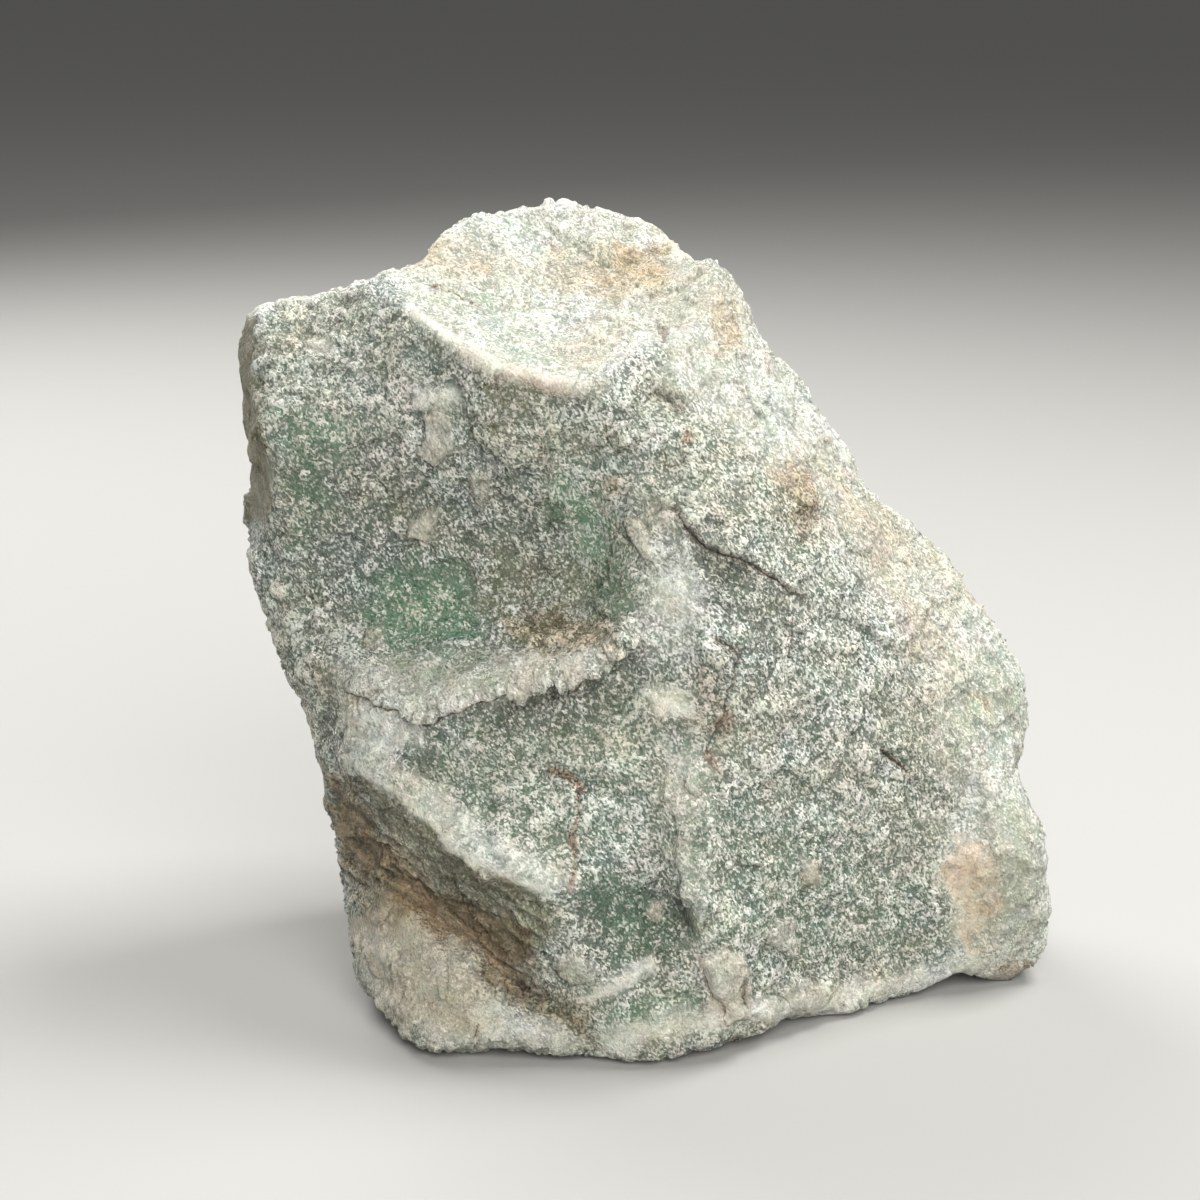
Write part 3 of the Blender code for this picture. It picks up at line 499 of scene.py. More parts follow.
FRONT_PATCHES = (
    # The top and the right edge, full of crushed grains
    sugar(((-41.6, 64.4), (-30, 75), (-16, 80.4), (2, 80.4), (10, 78), (18.8, 68.4), (18, 62), (11, 54),
        (8, 49.6), (0.8, 43.2), (-5.4, 42.4), (-11.4, 43.6), (-18, 45.2), (-22.4, 47.2), (-24.6, 49.4),
        (-30, 51.8), (-33.4, 54.4), (-38.4, 58.2)), 0.26, soft=0.8, ragged=0.8),
    sugar(((18, 70), (30, 62), (40, 46), (52, 26), (60, 20), (75, 4), (86, -12), (87, -24), (85, -34),
        (90, -50), (91, -72), (80, -78), (71, -72), (73, -50), (68, -34), (66, -18), (60, -8), (50, 8),
        (40, 24), (29, 32), (20, 52), (16, 60)), 0.3, soft=5, ragged=4),
    sugar(((40, 46), (52, 26), (61, 19.6), (75, 3), (86, -13),
        (86.8, -24)), 0.5, width=5, soft=4, ragged=3),
    sugar(((-54, -12.8), (-45.6, -13.6), (-40, -14.4), (-26, -14.4), (-20, -12.8), (-8, -11), (4, -8),
        (3.6, -10.4), (-2, -16), (-11, -16), (-19, -18.4), (-26, -20.8), (-34.8, -24.4), (-35.2, -28.4),
        (-44, -30.4), (-49.6, -29.2), (-52.4, -20)), 0.18, soft=3, ragged=3),
    sugar(((-54, -18), (-47, -20), (-40, -23.2), (-35.2, -25.6), (-35.2, -28.4), (-44, -30.4),
        (-49.6, -29.2)), 0.5, soft=2, ragged=2),
    sugar(((-50.8, -30.4), (-45.6, -34.4), (-41, -37.2), (-37.2, -40), (-32, -45.2), (-28.4, -49.2),
        (-24.8, -51), (-19.6, -53.6), (-14, -56.4), (-9.6, -58.4), (-5, -58), (-8, -53.6), (-16, -50),
        (-24, -44.8), (-32, -38), (-40, -32.4), (-46, -29.6)), 0.42, soft=2, ragged=2),
    sugar(TRENCH_CREST, 0.7, width=1.6, soft=0.8, ragged=0.3),
    sugar(((8, 20), (14.4, 20), (21, 5), (20, -8), (10, -12), (5.2, -4), (8, 2),
        (11, 6)), 0.2, soft=3.5, ragged=3),
    sugar(((12.8, 5.6), (18, 6.8), (20.4, 2), (18.8, -4), (13.6, -5.2), (11.2, 0)), 0.45, soft=2, ragged=3),
    sugar(((12.8, -29), (22.4, -29.6), (21.2, -40), (18.4, -50), (21.2, -68), (19.4, -69), (16.8, -56),
        (15.2, -48), (12.8, -38)), 0.3, soft=3, ragged=4),
    sugar(((2.4, -88), (20, -84), (40, -81), (60, -77), (76, -73.2)), 0.7, width=5, soft=2, ragged=2),
    sugar(((-38.4, 58.2), (-33.4, 54.4), (-30, 51.8), (-24.6, 49.4), (-22.4, 47.2), (-18, 45.2),
        (-11.4, 43.6), (-5.4, 42.4)), 0.8, width=1.8, soft=0.8, ragged=0.5),
    beige(((-30, 51.2), (-24.4, 48), (-18, 44.8), (-8, 42.4),
        (0.8, 42.4)), 0.6, width=2.5, soft=1, ragged=1),
    sugar(((11, 54), (20, 67.6), (27, 62), (32, 52), (40, 40), (50, 26), (46, 20), (34, 26), (28, 32),
        (20, 40), (12, 41)), 0.35, soft=4, ragged=4),
    sugar(((-58, 51.2), (-54, 52.4), (-53, 50), (-57.2, 49.2)), 0.6, soft=1),
    sugar(((-36.8, 41.6), (-29, 42.4), (-27.6, 40), (-36, 39)), 0.7, soft=1.5),
    sugar(((10, -18), (18, -18), (18, -23), (11, -22.4)), 0.7, soft=1.5),
    sugar(PIT_CREST, 0.8, width=2, soft=1),
    glassy(((-49.6, -65), (-36, -56), (-26, -69), (-16, -80), (0, -86), (-4, -90), (-34, -91),
        (-46, -80)), 0.2, soft=3, ragged=2),
    sugar(LOBE, 0.45, soft=2, ragged=3),
    sugar(((-47, -72), (-34, -66), (-29, -76), (-36, -84), (-44, -82)), 0.4, soft=2, ragged=3),
    peach(LOBE, 0.3, soft=3, ragged=3),
    sugar(((-44, -78), (-26, -77), (-16, -82), (-4, -88), (-34, -90.4)), 0.5, soft=3, ragged=3),
    sugar(((-26, -80), (-19, -80), (-18, -86), (-25, -86)), 0.6, soft=2),
    # Smooth plates, bruised by blows
    *(beige(chip, 0.95, soft=0.6) for chip in (
        TALL_CHIP, ROUND_CHIP, SLIVER, SQUARE_CHIP, PIT_CHIP, CRACKED_LUMP,
    )),
    beige(((-21, -11), (-12, -10.4), (-11, -15.2), (-17, -18), (-20, -16.8)), 0.7, soft=0.8),
    beige(((-8, -12), (-2.4, -11), (-2.4, -16), (-7, -15.6)), 0.8, soft=0.8),
    beige(NARROW_CHIP, 0.5, soft=0.8),
    *(beige(chip, 0.6, soft=0.8) for chip in (
        LEFT_CHIP, FORKED_CHIP, LOW_CHIP,
    )),
    beige(FOOT_CHIP, 0.5, soft=0.8),
    beige(((-45, -12), (-26, -10.4), (-20, -20), (-34, -23.2), (-50, -19)), 0.45, soft=2),
    # Darker faces, where few grains are crushed; some of these patches are painted shade, as marked
    bare(((-66, 30), (-40, 32), (-26, 26), (-12, 26), (-8, 8), (-14, -1), (-26, 4), (-40, 0), (-54, -2),
        (-64, 8)), 0.5, soft=3, ragged=3),
    # Painted shade on the shadowed side under the sharp ridge
    bare(((-40, 58.8), (-30, 50.8), (-26, 45.6), (-29.6, 41.6), (-38, 50), (-44, 58)), 0.5, soft=2),
    # Under the broken lip: fewer grains, and painted shade under the lip
    bare(((-24, -22.4), (-16, -19), (0, -13), (8, -11), (10, -18), (0, -24), (-20, -28)), 0.6, soft=2),
    # Painted shade in the pit left of the slab
    bare(((-6, -58), (0, -54), (8, -58), (18, -60), (20, -70), (12, -73), (0, -70)), 0.7, soft=2, ragged=2),
    # This and the next: painted shadow under the long crack, whose upper side stands proud
    bare(((20, 10), (32, 5.6), (38, 0), (36, -10), (32, -20), (28, -8), (20.4, 0)), 0.5, soft=3, ragged=2),
    bare(((17.6, 14.4), (23.2, 8.8), (30.4, 6), (34, 3.6), (28.8, 1.2),
        (20.8, 2.4)), 0.7, soft=1, ragged=1),
    bare(((-40, -28), (-30, -24), (-30, -34), (-40, -36)), 0.5, soft=2),
    bare(((-55.2, -20), (-49.6, -20.8), (-49.6, -31.4), (-56.4, -31.4)), 0.6, soft=1),
    bare(((22, 22), (29, 22), (29, 12), (21, 12)), 0.6, soft=2),
    # Deep green, where light goes far in
    green(((-43, 7), (-30, 8), (-23, 2), (-24, -8), (-36, -12), (-46, -8),
        (-47, 0)), 0.7, soft=4, ragged=4),
    green(((-9, 27), (-1, 24), (4.4, 12), (4.4, -2), (0, -5), (-4, 8), (-8.8, 16)), 0.6, soft=4, ragged=4),
    green(((-67.6, 36), (-56, 38), (-50, 34), (-52, 27.6), (-64, 27.6)), 0.5, soft=4, ragged=4),
    green(((-62, 24), (-56, 26), (-54, 16), (-60, 10)), 0.5, soft=3, ragged=3),
    green(((-44, -10), (-26, -11), (-21, -18), (-40, -21)), 0.5, soft=2),
    green(((-40, -26), (8, -20), (12, -44), (-8, -56), (-36, -40)), 0.15, soft=5, ragged=3),
    green(((-2, -54), (8, -56), (18, -70), (4, -72), (-4, -60)), 0.5, soft=3),
    green(((18, -30), (21, -40), (19, -50), (20, -66)), 0.35, width=5, soft=1.5),
    green(((20, -38), (60, -52), (66, -72), (40, -72), (22, -68)), 0.2, soft=5, ragged=3),
    glassy(BULGE, 0.25, soft=2.5),
    sugar(BULGE, 0.35, soft=3, ragged=4),
    green(((77, -40), (84, -40), (88, -52), (86, -66), (80, -64)), 0.35, soft=3),
    green(((-26, 61), (-20, 60), (-20.4, 56.8), (-24.8, 58)), 0.8, soft=1.5),
    green(((-34, 60.8), (-16, 58), (-8, 45.2), (-22, 49.6)), 0.3, soft=3, ragged=3),
    green(((-45.6, -32.8), (-32, -40.4), (-20, -50), (-12, -56.8), (-26, -49.6),
        (-40, -38)), 0.3, soft=2, ragged=2),
    green(((-20, 52), (-11, 51), (-10, 45), (-18, 47)), 0.4, soft=2),
    green(((29, 43), (40, 42), (38, 32), (30, 34)), 0.4, soft=3),
    green(((0, -80), (20, -78), (18, -86), (2, -88)), 0.45, soft=2),
    olive(((-24.4, 45.6), (-16, 44.4), (-10, 40.8), (-16, 36), (-20, 31), (-22.8, 36)), 0.8, soft=1.5),
    olive(((-22, 11), (-8, 10), (2, 6), (3, -4), (-8, -8), (-20, -8), (-26, 0)), 0.6, soft=4, ragged=4),
    olive(((12.8, 60), (22.4, 67.6), (23, 60), (18, 52), (20, 41), (12, 41), (10, 48)), 0.6, soft=2),
    glassy(((-72.8, 56.4), (-69, 56), (-69, 48.8), (-70.2, 42), (-68.6, 38.4), (-69, 33.2), (-66.8, 30),
        (-65.2, 26), (-65.2, 21.6), (-66.8, 16), (-72, 16), (-72.8, 36)), 0.7, soft=0.6, ragged=0.8),
    tan(((-72.8, 56.4), (-69, 56), (-68.6, 38.4), (-66.8, 30), (-65.2, 21.6), (-66.8, 16), (-72, 16),
        (-72.8, 36)), 0.8, soft=0.6, ragged=0.8),
    olive(((-72.8, 58), (-68.8, 57.2), (-68.6, 40), (-67.4, 32), (-65.2, 22),
        (-72, 20)), 0.9, soft=0.6, ragged=0.8),
    olive(TRENCH_WALL, 0.6, soft=1.2, ragged=2),
    tan(TRENCH_WALL, 0.5, soft=1.2, ragged=2),
    glassy(TRENCH_WALL, 0.35, soft=1.2, ragged=2),
    olive(((80, -47), (86, -54), (82, -57), (77, -50)), 0.6, soft=1.5),
    olive(((-40.4, -70.4), (-32.8, -69.6), (-25.2, -77), (-26.4, -84.4), (-36, -83.6),
        (-40.8, -77)), 0.35, soft=4, ragged=4),
    bare(((-39.2, -72), (-32.8, -71), (-26.4, -78), (-28, -84), (-36, -82.4)), 0.6, soft=4, ragged=4),
    olive(((-66, -20), (-55, -8), (-53, -18), (-60, -24)), 0.3, soft=2),
    # Iron: rust in the cracks and seams, and brown in the trench
    tan(((-56.4, -32.4), (-50, -36), (-40, -47.6), (-28, -57.6), (-14, -65), (-11, -70), (-16, -73),
        (-8, -80), (-2, -82), (-1.6, -88), (-8, -86), (-19, -80), (-26, -71), (-35, -66), (-41.6, -62.4),
        (-50, -56), (-53.2, -46)), 1, soft=3, ragged=2.5),
    brown(((-52, -38), (-45.6, -40), (-38, -50), (-26, -60), (-14, -68), (-11, -78), (-20, -76), (-30, -66),
        (-41, -61), (-49.6, -50)), 0.15, soft=3, ragged=3),
    rust(TRENCH, 0.22, soft=3, ragged=4),
    sugar(TRENCH, 0.3, soft=3, ragged=3),
    beige(((-49.6, -65.2), (-43, -63.4), (-39.8, -59.2), (-37.2, -54.4), (-32, -56.8), (-26.8, -65),
        (-21.2, -74), (-16, -80.8)), 0.7, width=2.4, soft=1, ragged=1.6),
    brown(((-48, -41.2), (-44, -44), (-41.6, -50), (-42.4, -54.4), (-46.8, -50)), 0.4, soft=1.5),
    brown(((-41, -50), (-38.4, -53.6), (-39.6, -58.4), (-42, -55.6)), 0.35, soft=1),
    brown(((-30, -54.4), (-26.8, -58.4), (-21.6, -66.8), (-24, -67.2), (-28.8, -61)), 0.5, soft=1),
    brown(((-17.6, -73.6), (-14, -76.4), (-12.8, -81.2), (-16.8, -80.4)), 0.5, soft=1),
    brown(((-54.8, -36.4), (-51, -37.2), (-50.8, -40.4), (-53.2, -40.4)), 0.6, soft=1),
    tan(((-50, -55), (-40, -56), (-40, -62.4), (-48, -64)), 0.7, soft=2),
    brown(((15.2, 18.4), (20, 11), (27.6, 8), (35, 4.4), (40, 0.6)), 0.7, width=1.2, soft=0.6, ragged=0.5),
    brown(((55.2, -29.2), (61.6, -34.4)), 0.6, width=1, soft=0.6, ragged=0.5),
    brown(((28, -10), (26, -18), (24.4, -24.2)), 0.5, width=1, soft=0.6, ragged=0.5),
    rust(((-9.8, -34.2), (-6.8, -34.8), (-3.6, -37.6)), 0.7, width=1.8, soft=0.6, ragged=0.5),
    brown(((10.4, 42.4), (13.2, 40.4), (16, 38.4)), 0.5, width=3, soft=1.2),
    brown(((27.6, -76.8), (27.6, -79.6)), 0.6, width=2, soft=1),
    brown(((-56, -14.4), (-53.4, -16), (-52.4, -20), (-55.6, -20)), 0.4, soft=1),
    rust(RUSTY_CRACK, 0.75, width=1, soft=0.7),
    rust(((23.2, -8), (27.2, -10.4)), 0.5, width=1.5, soft=1),
    rust(((25.2, -20), (27, -23.6), (24.4, -28), (22.4, -26)), 0.5, soft=1.2),
    rust(((21.2, -30), (24, -30.4), (22.4, -34.4)), 0.6, soft=1.2),
    rust(((-15, -1), (-8, -2), (-5, -6.4), (-14, -5.6)), 0.4, soft=1.5),
    rust(((16.8, 33.6), (18.4, 32.8), (18, 30.4), (16.8, 31.2)), 0.7, soft=1),
    rust(((11, 53.8), (13.6, 54.4), (13, 50.6)), 0.35, soft=1),
    rust(((-19.2, 45.2), (-8, 41.6)), 0.35, width=1.5, soft=1),
    rust(((40.6, 24.4), (40.6, 18), (41, 11.6)), 0.4, width=1.4, soft=1.6, ragged=2),
    rust(((-14.6, 60), (-14, 57.6), (-7.6, 57.8)), 0.4, width=0.8, soft=0.7),
    rust(((-16.2, -65), (-14.4, -66.4)), 0.6, width=2, soft=1),
    rust(((80, -74.4), (88, -73.2)), 0.35, width=2, soft=1),
    peach(((-2, 67.6), (8, 70.4), (14, 69), (13, 65), (8, 63), (3, 61.6), (-1, 63)), 0.7, soft=3, ragged=4),
    peach(((22.4, 61.6), (27.6, 56), (27.6, 50), (23.6, 49.6), (21.2, 56)), 0.6, soft=4, ragged=3),
    peach(((35, 27), (43, 27.6), (43.6, 20), (40, 14), (36, 20)), 0.5, soft=4, ragged=3),
    peach(((52.4, 21), (60, 18), (66, 8), (60, 0), (54, 8)), 0.3, soft=5, ragged=4),
    peach(((58, 2), (68, 0), (72, -16), (66, -20), (60, -8)), 0.3, soft=5, ragged=4),
    peach(((71, -50), (77, -49), (78.4, -56), (77, -70), (73, -66)), 0.55, soft=3, ragged=5),
    sugar(((68, -46), (77, -47), (79, -56), (77, -71), (71, -68)), 0.75, soft=4, ragged=5),
    peach(((74, -18), (78, -19), (77, -23)), 0.6, soft=2),
    peach(((0, 24), (4, 24), (3.6, 20.8), (0.4, 21.2)), 0.6, soft=1.2),
    peach(((18, -12), (26, -12), (25, -20), (20, -24)), 0.35, soft=2),
    peach(((-20, -5), (4, -4), (4, -10), (-12, -11)), 0.5, soft=2),
    peach(((81, -73), (89, -72), (88, -77)), 0.7, soft=2),
    tan(((-70.2, 32), (-66.4, 31), (-65.6, 20), (-69, 18)), 0.5, soft=1.5),
    peach(((-40, -66), (-26, -67), (-28, -78), (-36, -76)), 0.3, soft=2.5),
)

BACK_PATCHES = (
    sugar(((-32, 54), (-16, 66), (8, 71), (32, 66), (46, 62), (72, 56), (75, 46), (52, 50), (20, 54),
        (-8, 52), (-26, 44)), 0.5, soft=4, ragged=4),
    sugar(((-22.8, 40), (-24, 26), (-17.6, 8), (-20, -8), (-26, -24),
        (-22.4, -40)), 0.5, width=4, soft=4, ragged=4),
    sugar(((-11, 8), (4, 16.8), (20, 19.2), (40, 22.8), (70, 24.4), (68, 32), (40, 32), (20, 26),
        (0, 24)), 0.35, soft=4, ragged=4),
    sugar(((-84, -32), (-62, -30.4), (-40, -27.6), (-22, -24.4), (-24, -18), (-50, -20),
        (-80, -24)), 0.35, soft=4, ragged=4),
    green(((-8, 2), (8, 6), (28, 0), (32, -20), (16, -32), (-4, -24)), 0.6, soft=6, ragged=5),
    green(((-78, -38), (-56, -36), (-40, -48), (-44, -66), (-68, -68)), 0.55, soft=6, ragged=5),
    green(((52, 12), (70, 16), (66, -12), (52, -16)), 0.6, soft=5, ragged=4),
    olive(((-60, 8), (-36, 16), (-24, 0), (-32, -18), (-54, -12)), 0.6, soft=5, ragged=4),
    olive(((32, -28), (56, -24), (50, -52), (32, -56)), 0.6, soft=5, ragged=4),
    bare(((-16, 12), (20, 14), (60, 18), (68, -4), (52, -48), (20, -52),
        (-16, -48)), 0.22, soft=5, ragged=4),
    bare(((-80, -34), (-24, -30), (-22, -76), (-74, -78)), 0.18, soft=5, ragged=4),
    glassy(((48, 52), (68, 52), (72, 32), (52, 28)), 0.3, soft=5, ragged=4),
    glassy(((-16, -64), (8, -60), (24, -72), (8, -86), (-16, -84)), 0.6, soft=4, ragged=3),
    tan(((-64, 8), (-48, 0), (-34, -18), (-40, -26), (-56, -12)), 0.7, soft=4, ragged=4),
    tan(((24, 0), (38, -18), (44, -52), (32, -48)), 0.6, soft=4, ragged=4),
    peach(((-8, 60), (8, 62), (12, 50), (-2, 46)), 0.5, soft=4, ragged=4),
    peach(((-84, -8), (-72, 0), (-68, -16), (-80, -24)), 0.5, soft=4, ragged=4),
    rust(((-60, 8), (-49.6, -8), (-35.6, -22)), 0.4, width=2, soft=1.5),
    rust(((28, -4), (29.6, -26), (40, -50)), 0.4, width=2, soft=1.5),
    beige(REAR_CHIP, 0.4, soft=1.5, ragged=2),
    beige(REAR_LEFT_CHIP, 0.5, soft=1.5, ragged=2),
)

LEFT_PATCHES = (
    olive(LEFT_DIP, 0.5, soft=3, ragged=3),
    tan(LEFT_DIP, 0.5, soft=3, ragged=3),
    glassy(LEFT_DIP, 0.4, soft=3, ragged=3),
    green(((-40, 36), (-24, 38), (-16, 20), (-36, 12)), 0.55, soft=5, ragged=4),
    green(((-34, -44), (-8, -44), (0, -60), (-28, -68)), 0.6, soft=5, ragged=4),
    olive(((-50, 0), (-34, 4), (-32, -32), (-44, -32)), 0.6, soft=5, ragged=4),
    bare(((-40, 6), (4, 8), (4, -36), (-36, -36)), 0.25, soft=5, ragged=4),
    sugar(((-40, 50), (-20, 52), (-8, 47.6), (-8, 40.8), (-24, 42)), 0.5, soft=4, ragged=4),
    sugar(((-52, 8.8), (-30, 8), (-8, 9.6), (6, 12.8), (4, 18), (-30, 14)), 0.5, soft=3, ragged=3),
    peach(((-32, 64), (-16, 66), (-12, 54), (-28, 52)), 0.5, soft=4, ragged=4),
    tan(((-26, -4), (-8, -16), (-6, -34), (-22, -20)), 0.6, soft=4, ragged=4),
)

RIGHT_PATCHES = (
    green(((24, 24), (46, 26), (50, 8), (28, 4)), 0.55, soft=5, ragged=4),
    green(((-8, -40), (12, -38), (16, -56), (-4, -58)), 0.5, soft=5, ragged=4),
    olive(((26, -12), (50, -8), (54, -28), (28, -32)), 0.6, soft=5, ragged=4),
    bare(((23, 54), (52, 52), (56, -24), (24, -28)), 0.2, soft=5, ragged=4),
    sugar(((20, 60), (23.2, 36), (20, 20), (18, 0), (22.4, -20)), 0.4, width=5, soft=4, ragged=4),
    peach(((-8, 8), (8, 12), (10, -8), (-4, -12)), 0.35, soft=5, ragged=4),
    tan(((30, -40), (46, -44), (50, -72), (36, -68)), 0.6, soft=4, ragged=4),
    glassy(((26, -56), (52, -52), (50, -80), (26, -80)), 0.5, soft=4, ragged=3),
)

PATCHES = {
    Side.FRONT: FRONT_PATCHES, Side.BACK: BACK_PATCHES, Side.LEFT: LEFT_PATCHES, Side.RIGHT: RIGHT_PATCHES,
}


@dataclass
class Skin:
    """The lump's surface while it is worked, in millimetres."""

    points: np.ndarray
    normals: np.ndarray
    wobble: np.ndarray

    @classmethod
    def of(cls, stone: bpy.types.Object) -> "Skin":
        """Reads a mesh.

        Args:
            stone: The object to read.

        Returns:
            Its points, normals and the unevenness of broken edges.
        """
        mesh = stone.data
        points = np.empty(len(mesh.vertices) * 3, np.float32)
        normals = np.empty(len(mesh.vertices) * 3, np.float32)
        mesh.vertices.foreach_get("co", points)
        mesh.vertex_normals.foreach_get("vector", normals)
        points = points.reshape(-1, 3).astype(float) / MM
        wobble = sum(share * sample(points, size, noise.noise_vector) for size, share in STRAYING)
        return cls(points, normals.reshape(-1, 3).astype(float), wobble)

    def drawn(self, side: Side, ragged: float) -> np.ndarray:
        """Finds where a side's drawing shows the points, broken up as edges break.

        Args:
            side: The drawing's side.
            ragged: How far edges stray, in millimetres.

        Returns:
            Places across and up, one a row.
        """
        drawing = side.value
        return drawing.seen(self.points) + ragged * (self.wobble @ drawing.axes()[:2].T)


@dataclass
class Reach:
    """The points that a drawn line can touch, measured against it.

    near tells which of the lump's points they are. hand is 1 to the left of the line's run and -1 to its
    right, ends fades to 0 at both ends of the line, and shown to 0 where the skin turns away.
    """

    near: np.ndarray
    flat: np.ndarray
    distance: np.ndarray
    hand: np.ndarray
    ends: np.ndarray
    shown: np.ndarray

    @classmethod
    def of(cls, skin: Skin, side: Side, drawn: Mark | Patch, margin: float) -> "Reach":
        """Measures the skin against a mark's or a patch's line.

        Args:
            skin: The surface.
            side: The side that it is drawn on.
            drawn: The mark or the patch.
            margin: How far from its line points still count.

        Returns:
            The measured points.
        """
        flat = skin.drawn(side, drawn.ragged)
        corners = np.array(drawn.line)
        facing = side.value.facing(skin.normals)
        near = np.all((flat > corners.min(0) - margin) & (flat < corners.max(0) + margin), axis=1)
        near &= facing > TURNED_AWAY
        line = drawn.line + drawn.line[:1] if drawn.closed else drawn.line
        distance, hand, share = nearest_on(line, flat[near])
        ends = ease(0.0, TAPER, share) * ease(0.0, TAPER, 1.0 - share)
        return cls(near, flat[near], distance, hand, ends, ease(TURNED_AWAY, WELL_SEEN, facing[near]))


@dataclass
class Trace:
    """What marks leave on the skin: lift and distance from the nearest seam in millimetres, and from 0 to
    1 how dark that seam is, brown iron in cracks and painted shadow under ledges and chips, and fibres
    from -1 to 1."""

    lift: np.ndarray
    dirt: np.ndarray
    seam: np.ndarray
    fibre: np.ndarray

    @classmethod
    def blank(cls, count: int) -> "Trace":
        """Starts from an unmarked skin of that many points."""
        return cls(*(np.zeros(count) for _ in range(4)))

    def add(self, other: "Trace") -> None:
        """Lays another mark's trace over this one.

        Args:
            other: The other mark's trace.
        """
        self.lift += other.lift
        self.fibre += other.fibre
        over = other.dirt > self.dirt
        self.dirt[over] = other.dirt[over]
        self.seam[over] = other.seam[over]


def sample(points: np.ndarray, size: float, read: Callable[[Vector], float | Vector]) -> np.ndarray:
    """Reads a noise at points.

    Args:
        points: Places in millimetres, one a row.
        size: The noise's size in millimetres.
        read: The noise.

    Returns:
        What it gives at each point.
    """
    values = (read(Vector(place)) for place in (points / size).tolist())
    return np.array([tuple(value) if isinstance(value, Vector) else value for value in values])


def swell(place: Vector) -> float:
    """Soft unevenness of three sizes."""
    return noise.fractal(place, 0.8, 2.0, 3)


def crumble(place: Vector) -> float:
    """Rough unevenness of five sizes."""
    return noise.fractal(place, 0.45, 2.1, 5)


def chip(place: Vector) -> float:
    """Shapes flat chips at odd slants, with a small step from each to the next.

    Args:
        place: Where, in chip sizes.

    Returns:
        The height there, in chip sizes.
    """
    centre = noise.voronoi(place)[1][0]
    slant = noise.cell_vector(centre * CHIP_SPREAD) - Vector((0.5, 0.5, 0.5))
    return slant.dot(place - centre)


@dataclass(frozen=True)
class Relief:
    """Unevenness of one size over the whole skin, in millimetres."""

    size: float
    height: float
    read: Callable[[Vector], float] = chip

    def over(self, points: np.ndarray) -> np.ndarray:
        """Gives its height at each of the points."""
        return self.height * sample(points, self.size, self.read)


@dataclass(frozen=True)
class Scab:
    """Low islands with steep edges: their size and height in millimetres, and where the edge starts and
    ends on the noise that shapes them."""

    size: float
    height: float
    low: float
    high: float

    def cover(self, points: np.ndarray) -> np.ndarray:
        """Gives 1 at points on an island and 0 between them."""
        return ease(self.low, self.high, sample(points, self.size, crumble))


